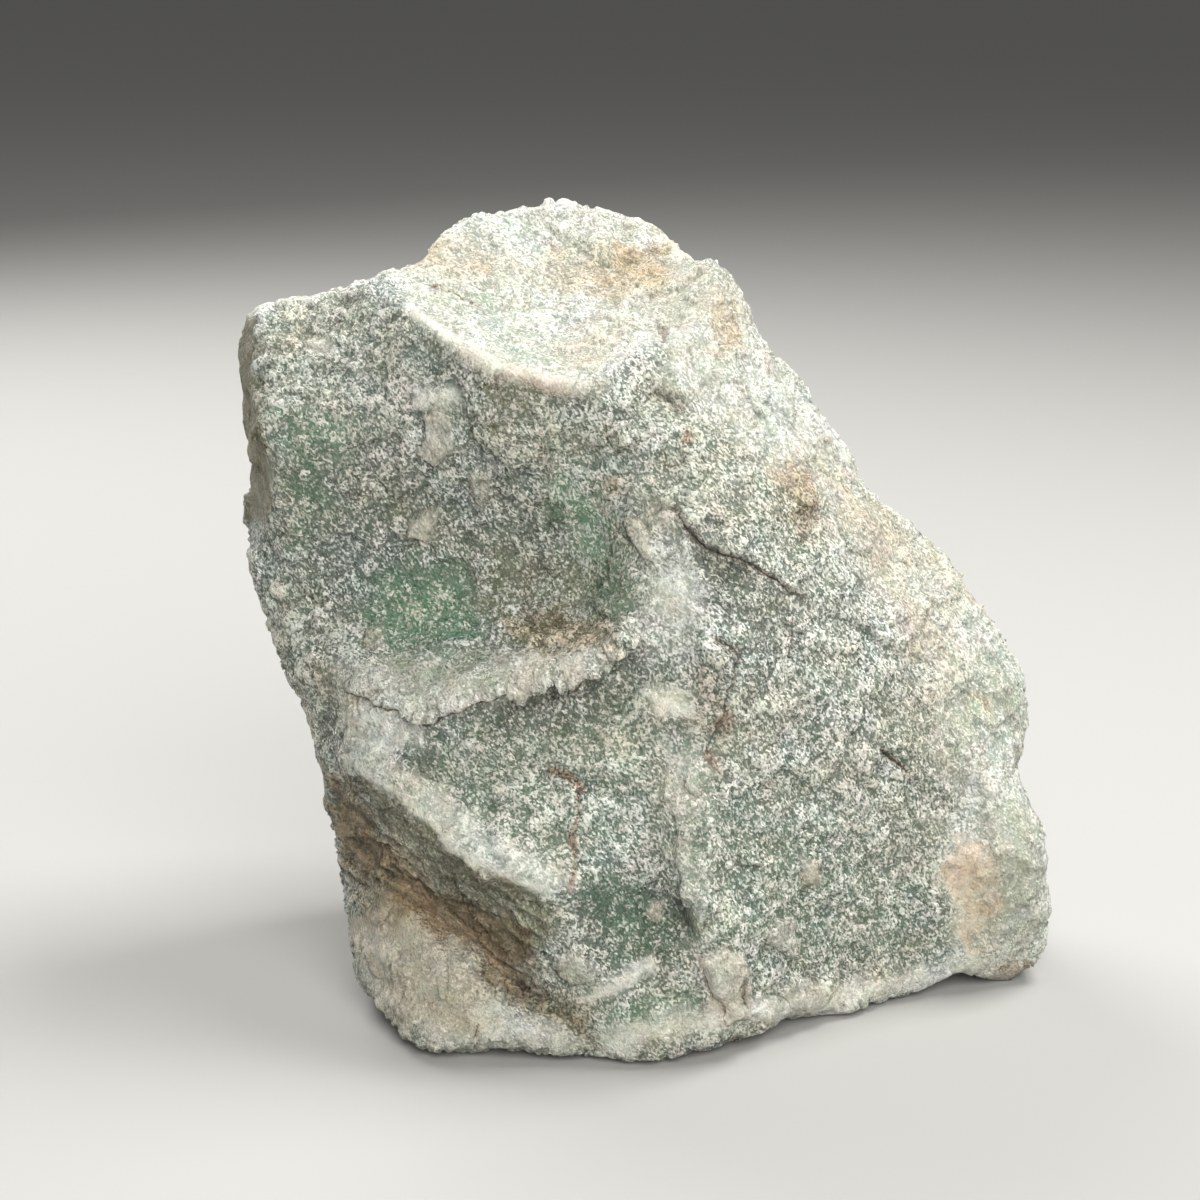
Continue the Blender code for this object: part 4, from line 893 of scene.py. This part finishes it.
@dataclass
class BrokenStone:
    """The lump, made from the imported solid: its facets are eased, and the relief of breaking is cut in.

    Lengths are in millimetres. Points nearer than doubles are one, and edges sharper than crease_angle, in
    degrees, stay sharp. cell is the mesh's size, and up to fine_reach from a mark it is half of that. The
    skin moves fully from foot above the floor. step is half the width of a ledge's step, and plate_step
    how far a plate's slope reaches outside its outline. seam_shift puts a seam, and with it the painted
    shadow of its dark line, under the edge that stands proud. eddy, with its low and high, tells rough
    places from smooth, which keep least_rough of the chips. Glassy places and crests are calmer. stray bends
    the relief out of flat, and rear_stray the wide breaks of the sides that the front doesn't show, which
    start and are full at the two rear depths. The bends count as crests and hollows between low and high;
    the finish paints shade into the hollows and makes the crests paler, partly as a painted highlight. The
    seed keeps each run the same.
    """

    node: str = "stone"
    body: str = "root"
    slot: str = "quartzite"
    crease_angle: float = 32.0
    crease: float = 0.95
    doubles: float = 0.01
    cell: float = 0.65
    fine_reach: float = 1.6
    triangles: int = 196_000
    foot: float = 0.6
    seed: int = 3
    step: float = 0.35
    plate_step: float = 0.2
    seam_shift: float = 0.3
    rib_length: float = 9.0
    rib_gain: float = 1.6
    stray: float = 1.2
    slabs: Relief = Relief(11.0, 1.1)
    chips: Relief = Relief(4.2, 0.65)
    splinters: Relief = Relief(2.1, 0.3)
    grit: Relief = Relief(1.6, 0.07, swell)
    crust: Scab = Scab(6.5, 0.6, 0.05, 0.12)
    blotch: Scab = Scab(2.4, 0.12, 0.08, 0.16)
    eddy: float = 30.0
    eddy_low: float = -0.3
    eddy_high: float = 0.4
    least_rough: float = 0.5
    glassy_calm: float = 0.75
    crest_calm: float = 0.6
    rear_stray: float = 2.0
    rear_breaks: tuple[Relief, ...] = (Relief(34.0, 1.6), Relief(17.0, 1.2))
    rear_starts: float = -5.0
    rear_full: float = 25.0
    bend_rounds: int = 8
    bend_low: float = 0.05
    bend_high: float = 0.35

    def copy_of_solid(self) -> bpy.types.Object:
        """Copies the solid's mesh, joined up and with its sharp edges marked.

        Returns:
            The copy.
        """
        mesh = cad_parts[self.node].data.copy()
        mesh.name = "broken_stone"
        mesh.materials.clear()
        joined = bmesh.new()
        joined.from_mesh(mesh)
        bmesh.ops.remove_doubles(joined, verts=joined.verts, dist=self.doubles * MM)
        crease = joined.edges.layers.float.new("crease_edge")
        limit = math.radians(self.crease_angle)
        for edge in joined.edges:
            if edge.is_manifold and edge.calc_face_angle() > limit:
                edge[crease] = self.crease
        joined.to_mesh(mesh)
        joined.free()
        stone = bpy.data.objects.new("broken_stone", mesh)
        bpy.context.scene.collection.objects.link(stone)
        return stone

    def hold(self, stone: bpy.types.Object) -> None:
        """Selects the lump alone and makes it the active object.

        Args:
            stone: The lump.
        """
        bpy.ops.object.select_all(action="DESELECT")
        stone.select_set(True)
        bpy.context.view_layer.objects.active = stone

    def finish_with(self, stone: bpy.types.Object, kind: str, **settings: object) -> None:
        """Adds a modifier and applies it.

        Args:
            stone: The lump.
            kind: The modifier's type.
            settings: Its settings.
        """
        self.hold(stone)
        modifier = stone.modifiers.new(kind.title(), kind)
        for name, value in settings.items():
            setattr(modifier, name, value)
        bpy.ops.object.modifier_apply(modifier=modifier.name)

    def trace(self, mark: Mark, side: Side, skin: Skin) -> Trace:
        """Works out what one mark leaves on the skin.

        Args:
            mark: The mark.
            side: The side that it is drawn on.
            skin: The surface.

        Returns:
            Its lift, its seam's darkness (brown iron in a crack, painted shadow under a ledge and a chip),
            the distance from its seam and its fibres.
        """
        left = Trace.blank(len(skin.points))
        reach = Reach.of(skin, side, mark, mark.width * 4.0 + DIRT_AND_SHADOW_GONE)
        distance, flat, ends = reach.distance, reach.flat, reach.ends
        near, seam, dirt, fibre = reach.near, distance * reach.hand, 0.0, 0.0
        if mark.form is Form.RIDGE:
            height = np.clip(1.0 - distance / mark.width, 0.0, 1.0) * ends
        elif mark.form is Form.CRACK:
            height = -np.exp(-((distance / mark.width) ** 2)) * ends
            dirt = ease(DIRT_AND_SHADOW_GONE, DIRT_AND_SHADOW_FULL, distance) * ends
        elif mark.form is Form.LEDGE:
            run_back = np.exp(-np.clip(seam, 0.0, None) / mark.width)
            height = ease(-self.step, self.step, seam) * run_back * ends
            # A dark line at the foot of the step: painted shadow under the ledge
            dirt = ease(DIRT_AND_SHADOW_GONE, DIRT_AND_SHADOW_FULL, distance) * ends
            seam = seam + self.seam_shift
        else:
            seam = np.where(within(mark.line, flat), distance, -distance)
            height = ease(-self.plate_step, mark.width, seam)
            if mark.form is Form.PLATE:
                # Painted shadow at the chip's foot, on its lower left, the side away from the light
                away = flat - np.array(mark.line).mean(0)
                shaded = away @ np.array(SHADED_WAY) / np.maximum(np.hypot(*away.T), self.doubles)
                dirt = ease(DIRT_AND_SHADOW_GONE, DIRT_AND_SHADOW_FULL, distance) * ease(SHADED_FROM, SHADED_FULL, shaded)
                seam = seam + self.seam_shift
            elif mark.form is Form.SCAR:
                height = -height
            else:
                fibre = height * self.ribs(mark, flat)
                height = fibre
        left.lift[near] = mark.height * height * reach.shown
        left.dirt[near] = mark.dirt * dirt * reach.shown
        left.seam[near] = seam
        left.fibre[near] = fibre * reach.shown
        return left

    def ribs(self, mark: Mark, flat: np.ndarray) -> np.ndarray:
        """Works out the fibres of a mark.

        Args:
            mark: The mark.
            flat: Places of its drawing.

        Returns:
            Heights from -1 to 1.
        """
        run = np.array(mark.line[1], float) - mark.line[0]
        run /= np.hypot(*run)
        along, across = flat @ run, flat @ np.array((-run[1], run[0]))
        spread = np.stack((along / self.rib_length, across / mark.width, np.zeros(len(flat))), axis=1)
        return sample(spread, 1.0, noise.noise) * self.rib_gain

    def stain_cover(self, patch: Patch, side: Side, skin: Skin) -> np.ndarray:
        """Works out how strongly one patch covers the skin, from 0 to 1.

        Args:
            patch: The patch.
            side: The side that it is drawn on.
            skin: The surface.

        Returns:
            Its cover at each point.
        """
        cover = np.zeros(len(skin.points))
        reach = Reach.of(skin, side, patch, patch.width + patch.soft * 2.0)
        if patch.closed:
            depth = np.where(within(patch.line, reach.flat), reach.distance, -reach.distance)
        else:
            depth = patch.width / 2.0 - reach.distance
        cover[reach.near] = patch.strength * ease(-patch.soft, patch.soft, depth) * reach.shown
        return cover

    def refine(self, stone: bpy.types.Object) -> None:
        """Makes the mesh finer where marks are cut.

        Args:
            stone: The lump.
        """
        skin = Skin.of(stone)
        fine = np.zeros(len(skin.points), bool)
        for side, marks in MARKS.items():
            for mark in marks:
                reach = Reach.of(skin, side, mark, self.fine_reach)
                ribbed = (mark.form is Form.RIBS) & within(mark.line, reach.flat)
                fine[reach.near] |= (reach.distance < self.fine_reach) | ribbed
        self.hold(stone)
        bpy.ops.object.mode_set(mode="EDIT")
        bpy.ops.mesh.select_mode(type="VERT")
        bpy.ops.mesh.select_all(action="DESELECT")
        bpy.ops.object.mode_set(mode="OBJECT")
        stone.data.vertices.foreach_set("select", fine)
        bpy.ops.object.mode_set(mode="EDIT")
        bpy.ops.mesh.subdivide(number_cuts=1)
        bpy.ops.object.mode_set(mode="OBJECT")

    def carve(self, stone: bpy.types.Object) -> None:
        """Cuts the relief of breaking into the lump and notes where crust, crests and hollows are.

        Args:
            stone: The lump.
        """
        skin = Skin.of(stone)
        covers = {stain: np.zeros(len(skin.points)) for stain in Stain}
        for side, patches in PATCHES.items():
            for patch in patches:
                cover = self.stain_cover(patch, side, skin)
                covers[patch.stain] = np.maximum(covers[patch.stain], cover)
        marks = Trace.blank(len(skin.points))
        crisp = np.zeros(len(skin.points))
        for side, drawn in MARKS.items():
            for mark in drawn:
                left = self.trace(mark, side, skin)
                marks.add(left)
                if mark.form is Form.RIDGE:
                    crisp = np.maximum(crisp, np.clip(left.lift / mark.height, 0.0, 1.0))
        bent = skin.points + self.stray * skin.wobble
        crust, blotch = self.crust.cover(bent), self.blotch.cover(bent)
        rough = ease(self.eddy_low, self.eddy_high, sample(skin.points, self.eddy, swell))
        calm = (1.0 - self.glassy_calm * covers[Stain.GLASSY]) * (1.0 - self.crest_calm * crisp)
        height = self.chips.over(bent) + self.splinters.over(bent)
        height = height * (self.least_rough + rough) + self.grit.over(bent)
        height += self.slabs.over(bent) + self.crust.height * crust + self.blotch.height * blotch
        height += ease(self.rear_starts, self.rear_full, skin.points[:, 1]) * self.behind(skin)
        height = height * calm + marks.lift
        standing = ease(0.0, self.foot, skin.points[:, 2])
        moved = skin.points + skin.normals * (height * standing)[:, None]
        moved[:, 2] = np.where(standing > 0.0, np.maximum(moved[:, 2], 0.0), 0.0)
        stone.data.vertices.foreach_set("co", (moved * MM).astype(np.float32).ravel())
        bend = self.bend(stone, moved, skin.normals)
        # The finish reads these: each seam's dark line, brown iron in cracks and painted shadow under ledges
        # and chips; and crests and hollows, which it makes paler, partly as painted highlight, and darker as
        # painted shade
        notes = {
            "dirt": marks.dirt, "seam": marks.seam, "fibre": marks.fibre,
            "crust": crust * calm, "blotch": blotch * calm,
            "crest": ease(self.bend_low, self.bend_high, -bend),
            "hollow": ease(self.bend_low, self.bend_high, bend),
        }
        notes |= {stain.note: cover for stain, cover in covers.items()}
        for name, values in notes.items():
            self.note(stone, name, values)

    def behind(self, skin: Skin) -> np.ndarray:
        """Gives the heights of the wide breaks of the sides that the front doesn't show."""
        bent = skin.points + self.rear_stray * skin.wobble
        return sum(relief.over(bent) for relief in self.rear_breaks)

    def bend(self, stone: bpy.types.Object, points: np.ndarray, normals: np.ndarray) -> np.ndarray:
        """Measures how far each point lies below its neighbourhood, in millimetres.

        Args:
            stone: The lump.
            points: Its points.
            normals: Their normals.

        Returns:
            Depths, below 0 on crests.
        """
        edges = np.empty(len(stone.data.edges) * 2, np.int32)
        stone.data.edges.foreach_get("vertices", edges)
        first, second = edges.reshape(-1, 2).T
        count = np.bincount(first, minlength=len(points)) + np.bincount(second, minlength=len(points))
        eased = points.copy()
        for _ in range(self.bend_rounds):
            total = np.stack([
                np.bincount(first, eased[second, axis], len(points))
                + np.bincount(second, eased[first, axis], len(points))
                for axis in range(3)
            ], axis=1)
            eased = 0.5 * eased + 0.5 * total / count[:, None]
        return np.einsum("ij,ij->i", eased - points, normals)

    def note(self, stone: bpy.types.Object, name: str, values: np.ndarray) -> None:
        """Keeps a value for each point of the mesh, for the finish to read.

        Args:
            stone: The lump.
            name: The value's name.
            values: One number a point.
        """
        layer = stone.data.attributes.new(name, "FLOAT", "POINT")
        layer.data.foreach_set("value", values.astype(np.float32))

    def build(self) -> bpy.types.Object:
        """Makes the lump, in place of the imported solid.

        Returns:
            The finished piece.
        """
        noise.seed_set(self.seed)
        stone = self.copy_of_solid()
        self.finish_with(stone, "SUBSURF", levels=2, render_levels=2)
        self.finish_with(stone, "REMESH", mode="VOXEL", voxel_size=self.cell * MM)
        self.refine(stone)
        self.carve(stone)
        stone.data.calc_loop_triangles()
        self.finish_with(stone, "DECIMATE", ratio=self.triangles / len(stone.data.loop_triangles))
        stone.data.shade_smooth()
        stone.data.materials.append(SugaryQuartzite().material())
        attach(stone, self.body)
        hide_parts(self.node)
        log.info("stone: %d faces", len(stone.data.polygons))
        return stone


class Graph:
    """A material's nodes, added one at a time."""

    def __init__(self, material: bpy.types.Material) -> None:
        """Starts from a material's own shader.

        Args:
            material: The material.
        """
        material.use_nodes = True
        self.tree = material.node_tree
        self.shader = self.tree.nodes["Principled BSDF"]

    def add(self, kind: str, feeds: dict[str | int, object] | None = None,
            **settings: object) -> bpy.types.Node:
        """Adds a node with its settings and links.

        Args:
            kind: The node's type, after ShaderNode.
            feeds: What goes into each socket, by name or number: a value, a node or a node's output.
            settings: The node's own settings.

        Returns:
            The node.
        """
        node = self.tree.nodes.new("ShaderNode" + kind)
        for name, value in settings.items():
            setattr(node, name, value)
        self.feed(node, feeds or {})
        return node

    def feed(self, node: bpy.types.Node, feeds: dict[str | int, object]) -> None:
        """Sets or links a node's sockets.

        Args:
            node: The node.
            feeds: What goes into each socket, by name or number: a value, a node or a node's output.
        """
        for name, value in feeds.items():
            if isinstance(name, int):
                socket = node.inputs[name]
            else:
                socket = next(s for s in node.inputs if s.name == name and s.enabled)
            if isinstance(value, bpy.types.Node):
                value = next(s for s in value.outputs if s.enabled)
            if isinstance(value, bpy.types.NodeSocket):
                self.tree.links.new(value, socket)
            else:
                socket.default_value = value


@dataclass(frozen=True)
class SugaryQuartzite:
    """Green aventurine quartzite, broken with a hammer.

    The break runs through and between fused quartz grains, which gives the eye a skin like sugar: white
    glints over a grey-green body that light enters. The white grains in the colour are partly crushed quartz
    and partly painted glints of facets that catch the light. Lengths are in millimetres, and the patterns
    are drawn at about their real size. A grain is longer by stretch along its lean, in degrees, and grains
    lie in clumps. The body's colour changes in clouds and its hue in tints. fray is the size of the broken
    edges of stains, jag that of a seam's edge and stray how far it goes, seam half a seam's width and
    seam_soft its edge. A seam's dark line is brown iron in cracks and painted shadow under ledges and
    chips. flake is the size of the skin's thin flakes, flake_rise and crumb_rise their share of the relief
    beside a grain's, and depth how deep the relief is. shifts says how much each kind of place adds to the
    share of white grains; fewer in hollows and in the shaded bare patches is painted shade, and more on
    crests is partly painted highlight. Above bare a grain starts to be white, and at full it is.
    """

    grain: float = 0.34
    stretch: float = 1.7
    lean: float = -38.0
    crumb: float = 1.25
    clump: float = 3.0
    cloud: float = 16.0
    tint: float = 5.0
    fray: float = 2.2
    jag: float = 1.3
    stray: float = 1.1
    seam: float = 0.4
    seam_soft: float = 0.2
    flake: float = 2.0
    flake_rise: float = 2.2
    crumb_rise: float = 1.5
    depth: float = 0.6
    bare: float = 0.97
    full: float = 1.55
    shifts: tuple[tuple[str, float], ...] = (
        ("sugar", 0.18), ("bare", -0.25), ("green", -0.3), ("olive", -0.15), ("crust", 0.12),
        ("blotch", 0.12), ("crest", 0.2), ("hollow", -0.2), ("glassy", -0.15),
    )
    ior: float = 1.54
    roughness: float = 0.5

    def slants(self, graph: Graph, cells: bpy.types.Node, place: bpy.types.Node) -> bpy.types.NodeSocket:
        """Gives each cell of a pattern a flat slant of its own.

        Args:
            graph: The material's nodes.
            cells: The pattern.
            place: The place that it was read at.

        Returns:
            The height.
        """
        slant = graph.add("VectorMath", {0: cells.outputs["Color"], 1: (0.5, 0.5, 0.5)}, operation="SUBTRACT")
        inner = graph.add("VectorMath", {0: place, 1: cells.outputs["Position"]}, operation="SUBTRACT")
        return graph.add("VectorMath", {0: slant, 1: inner}, operation="DOT_PRODUCT").outputs["Value"]

    def material(self) -> bpy.types.Material:
        """Makes the finish.

        Returns:
            The material.
        """
        material = bpy.data.materials.new("broken green quartzite")
        graph = Graph(material)
        place = graph.add("TexCoord").outputs["Object"]
        place = graph.add("VectorMath", {0: place, "Scale": 1.0 / MM}, operation="SCALE")
        # What the mesh says of each place, with the edges of stains frayed
        covers = {
            name: graph.add("Attribute", attribute_name=name).outputs["Fac"]
            for name in ("crust", "blotch", "crest", "hollow", "dirt", "seam", "fibre")
        }
        edges = graph.add("TexNoise", {
            "Vector": place, "Scale": 1.0 / self.fray, "Detail": 5.0, "Roughness": 0.75,
        })
        broken = graph.add("Math", {0: edges, 1: 1.6, 2: -0.8}, operation="MULTIPLY_ADD")
        for stain in Stain:
            even = graph.add("Attribute", attribute_name=stain.note).outputs["Fac"]
            worn = graph.add("Math", {0: broken, 1: even}, operation="MULTIPLY")
            covers[stain.note] = graph.add("Math", {0: even, 1: worn}, operation="ADD", use_clamp=True)
        # The grains, with three chances each, and the crumbs on them
        streaks = graph.add("Mapping", {
            "Vector": place, "Rotation": (0.0, math.radians(self.lean), 0.0),
            "Scale": (self.grain, self.grain, self.grain * self.stretch),
        }, vector_type="TEXTURE")
        crystals = graph.add("TexVoronoi", {"Vector": streaks, "Scale": 1.0})
        chance = graph.add("SeparateColor", {"Color": crystals.outputs["Color"]})
        crumbs = graph.add("TexNoise", {
            "Vector": streaks, "Scale": 1.0 / self.crumb, "Detail": 3.0, "Roughness": 0.75,
        })
        # How white each grain is: crushed quartz, and partly painted glints of facets that catch the light
        density = graph.add("TexNoise", {
            "Vector": place, "Scale": 1.0 / self.clump, "Detail": 4.0, "Roughness": 0.6,
        })
        level = graph.add("Math", {0: density, 1: 0.5, 2: -0.37}, operation="MULTIPLY_ADD")
        # Hollows and the shaded bare patches get fewer white grains as painted shade; crests get more, partly
        # as painted highlight
        for name, shift in self.shifts:
            level = graph.add("Math", {0: covers[name], 1: shift, 2: level}, operation="MULTIPLY_ADD")
        lit = graph.add("Math", {0: chance.outputs["Red"], 1: 0.9, 2: level}, operation="MULTIPLY_ADD")
        lit = graph.add("Math", {0: crumbs, 1: self.crumb_rise, 2: lit}, operation="MULTIPLY_ADD")
        white = graph.add("MapRange", {"Value": lit, "From Min": self.bare, "From Max": self.full})
        # The body: darker where grains are few, which in the shaded bare patches is painted shade, and in the
        # pores; milky where they are crushed
        clouds = graph.add("TexNoise", {
            "Vector": place, "Scale": 1.0 / self.cloud, "Detail": 6.0, "Roughness": 0.6,
        })
        cloudy = graph.add("MapRange", {"Value": clouds, "From Min": 0.38, "From Max": 0.62})
        colour = graph.add("Mix", {"Factor": cloudy, "A": linear("506354"), "B": linear("65705D")},
                           data_type="RGBA")
        cream = graph.add("Mix", {"Factor": cloudy, "A": linear("F8F8EE"), "B": linear("EFEBD9")},
                          data_type="RGBA")
        for stain in (Stain.GREEN, Stain.OLIVE):
            colour = graph.add("Mix", {"Factor": covers[stain.note], "A": colour, "B": linear(stain.value)},
                               data_type="RGBA")
        deep = graph.add("Math", {0: covers["bare"], 1: -0.4, 2: 0.9}, operation="MULTIPLY_ADD")
        pore = graph.add("MapRange", {
            "Value": chance.outputs["Green"], "From Max": 0.25, "To Min": 0.65, "To Max": 1.0,
        })
        for shade in (deep, pore):
            colour = graph.add("VectorMath", {0: colour, "Scale": shade}, operation="SCALE")
        haze = graph.add("Math", {0: chance.outputs["Blue"], 1: 0.14}, operation="MULTIPLY")
        milky = graph.add("Math", {0: covers["sugar"], 1: 0.9, 2: haze}, operation="MULTIPLY_ADD",
                          use_clamp=True)
        for share in (milky, white):
            colour = graph.add("Mix", {"Factor": share, "A": colour, "B": cream}, data_type="RGBA")
        # Smooth bruised faces, the iron's colours and the fibres
        speck = graph.add("MapRange", {"Value": chance.outputs["Blue"], "To Min": 0.6, "To Max": 1.3})
        for stain, share in ((Stain.BEIGE, 0.7), (Stain.GLASSY, 0.6)):
            cover = graph.add("Math", {0: covers[stain.note], 1: share}, operation="MULTIPLY")
            grainy = graph.add("VectorMath", {0: linear(stain.value)[:3], "Scale": speck}, operation="SCALE")
            colour = graph.add("Mix", {"Factor": cover, "A": colour, "B": grainy}, data_type="RGBA")
        for stain in (Stain.PEACH, Stain.TAN, Stain.RUST, Stain.BROWN):
            colour = graph.add("Mix", {"Factor": covers[stain.note], "A": colour, "B": linear(stain.value)},
                               data_type="RGBA", blend_type="MULTIPLY")
        threads = graph.add("Math", {0: covers["fibre"], 1: 0.35, 2: 1.0}, operation="MULTIPLY_ADD")
        colour = graph.add("VectorMath", {0: colour, "Scale": threads}, operation="SCALE")
        # The thin brown seams: iron in cracks, and painted shadow under ledges and on the lower left of
        # chips; and an uneven tint over all
        jag = graph.add("TexNoise", {
            "Vector": place, "Scale": 1.0 / self.jag, "Detail": 3.0, "Roughness": 0.7,
        })
        away = graph.add("Math", {0: jag, 1: self.stray, 2: covers["seam"]}, operation="MULTIPLY_ADD")
        away = graph.add("Math", {0: away, 1: self.stray / 2.0}, operation="SUBTRACT")
        away = graph.add("Math", {0: away}, operation="ABSOLUTE")
        wide = graph.add("Math", {0: covers["dirt"], 1: self.seam}, operation="MULTIPLY")
        seam_dirt_and_shadow = graph.add("Math", {0: wide, 1: away}, operation="SUBTRACT")
        seam_dirt_and_shadow = graph.add("MapRange", {"Value": seam_dirt_and_shadow, "From Max": self.seam_soft})
        colour = graph.add("Mix", {"Factor": seam_dirt_and_shadow, "A": colour, "B": linear("8A6A44")}, data_type="RGBA",
                           blend_type="MULTIPLY")
        tints = graph.add("TexNoise", {"Vector": place, "Scale": 1.0 / self.tint, "Detail": 4.0})
        tint = graph.add("VectorMath", {
            0: tints.outputs["Color"], 1: (0.24, 0.14, 0.24), 2: (0.88, 0.93, 0.88),
        }, operation="MULTIPLY_ADD")
        colour = graph.add("VectorMath", {0: colour, 1: tint}, operation="MULTIPLY")
        # The relief of grains, crumbs and flakes, too fine for the mesh
        chips = graph.add("VectorMath", {0: place, "Scale": 1.0 / self.flake}, operation="SCALE")
        flakes = graph.add("TexVoronoi", {"Vector": chips, "Scale": 1.0})
        facet = self.slants(graph, crystals, streaks)
        flake = self.slants(graph, flakes, chips)
        relief = graph.add("Math", {0: crumbs, 1: self.crumb_rise, 2: facet}, operation="MULTIPLY_ADD")
        relief = graph.add("Math", {0: flake, 1: self.flake_rise, 2: relief}, operation="MULTIPLY_ADD")
        bump = graph.add("Bump", {"Height": relief, "Strength": 1.0, "Distance": self.depth * MM})
        graph.feed(graph.shader, {
            "Base Color": colour, "Normal": bump, "Roughness": self.roughness, "IOR": self.ior,
        })
        return material


@dataclass(frozen=True)
class Lamp:
    """One soft light: its place round and above the lump in degrees, then metres and watts."""

    name: str
    turn: float
    climb: float
    away: float
    width: float
    power: float


@dataclass(frozen=True)
class Studio:
    """A plain pale floor, soft light from the upper right, and the viewer's camera.

    half_frame is half the width that the camera shows at the lump, in millimetres. The floor's size is in
    metres.
    """

    view: Drawing = Side.FRONT.value
    half_frame: float = 120.0
    floor_size: float = 30.0
    lamps: tuple[Lamp, ...] = (
        Lamp("key", turn=108.0, climb=62.0, away=1.0, width=0.5, power=14.5),
        Lamp("fill", turn=12.0, climb=32.0, away=1.0, width=0.7, power=12.8),
        Lamp("back", turn=215.0, climb=38.0, away=1.0, width=0.6, power=10.5),
    )
    sky: float = 0.2

    def lay_floor(self) -> None:
        """Lays the floor."""
        bpy.ops.mesh.primitive_plane_add(size=self.floor_size)
        floor = bpy.context.object
        floor.name = "floor"
        # Matt paint gives no gloss, so only the lump's soft shadow shows on it
        paint = bpy.data.materials.new("matt pale paint")
        graph = Graph(paint)
        graph.feed(graph.shader, {"Base Color": linear("9D9C98"), "Roughness": 0.9})
        floor.data.materials.append(paint)

    def hang(self, lamp: Lamp) -> None:
        """Hangs one soft light that points at the lump.

        Args:
            lamp: The light.
        """
        light = bpy.data.lights.new(lamp.name, "AREA")
        light.size = lamp.width
        light.energy = lamp.power
        hung = bpy.data.objects.new(lamp.name, light)
        bpy.context.scene.collection.objects.link(hung)
        aim = Vector(Drawing(lamp.turn, lamp.climb).axes()[2])
        hung.location = Vector(self.view.middle) * MM + aim * lamp.away
        hung.rotation_euler = (-aim).to_track_quat("-Z", "Y").to_euler()

    def set_camera(self) -> None:
        """Stands the camera where the viewer's eye is."""
        lens = bpy.data.cameras.new("camera")
        lens.lens_unit = "FOV"
        lens.angle = 2.0 * math.atan(self.half_frame / self.view.distance)
        camera = bpy.data.objects.new("camera", lens)
        bpy.context.scene.collection.objects.link(camera)
        axes = self.view.axes()
        stand = Matrix(axes.T.tolist()).to_4x4()
        stand.translation = Vector(np.array(self.view.middle) + axes[2] * self.view.distance) * MM
        camera.matrix_world = stand
        bpy.context.scene.camera = camera

    def build(self) -> None:
        """Sets up the floor, the lights and the camera."""
        self.lay_floor()
        for lamp in self.lamps:
            self.hang(lamp)
        world = bpy.data.worlds.new("pale room")
        bpy.context.scene.world = world
        world.use_nodes = True
        background = world.node_tree.nodes["Background"]
        background.inputs["Color"].default_value = (1.0, 1.0, 1.0, 1.0)
        background.inputs["Strength"].default_value = self.sky
        bpy.context.scene.view_settings.view_transform = "Standard"
        self.set_camera()
        log.info("studio: camera %.2f m from the lump", self.view.distance * MM)


def main() -> None:
    """Builds the lump and the studio."""
    logging.basicConfig(level=logging.INFO, format="%(name)s: %(message)s")
    BrokenStone().build()
    Studio().build()


if __name__ == "__main__":
    main()
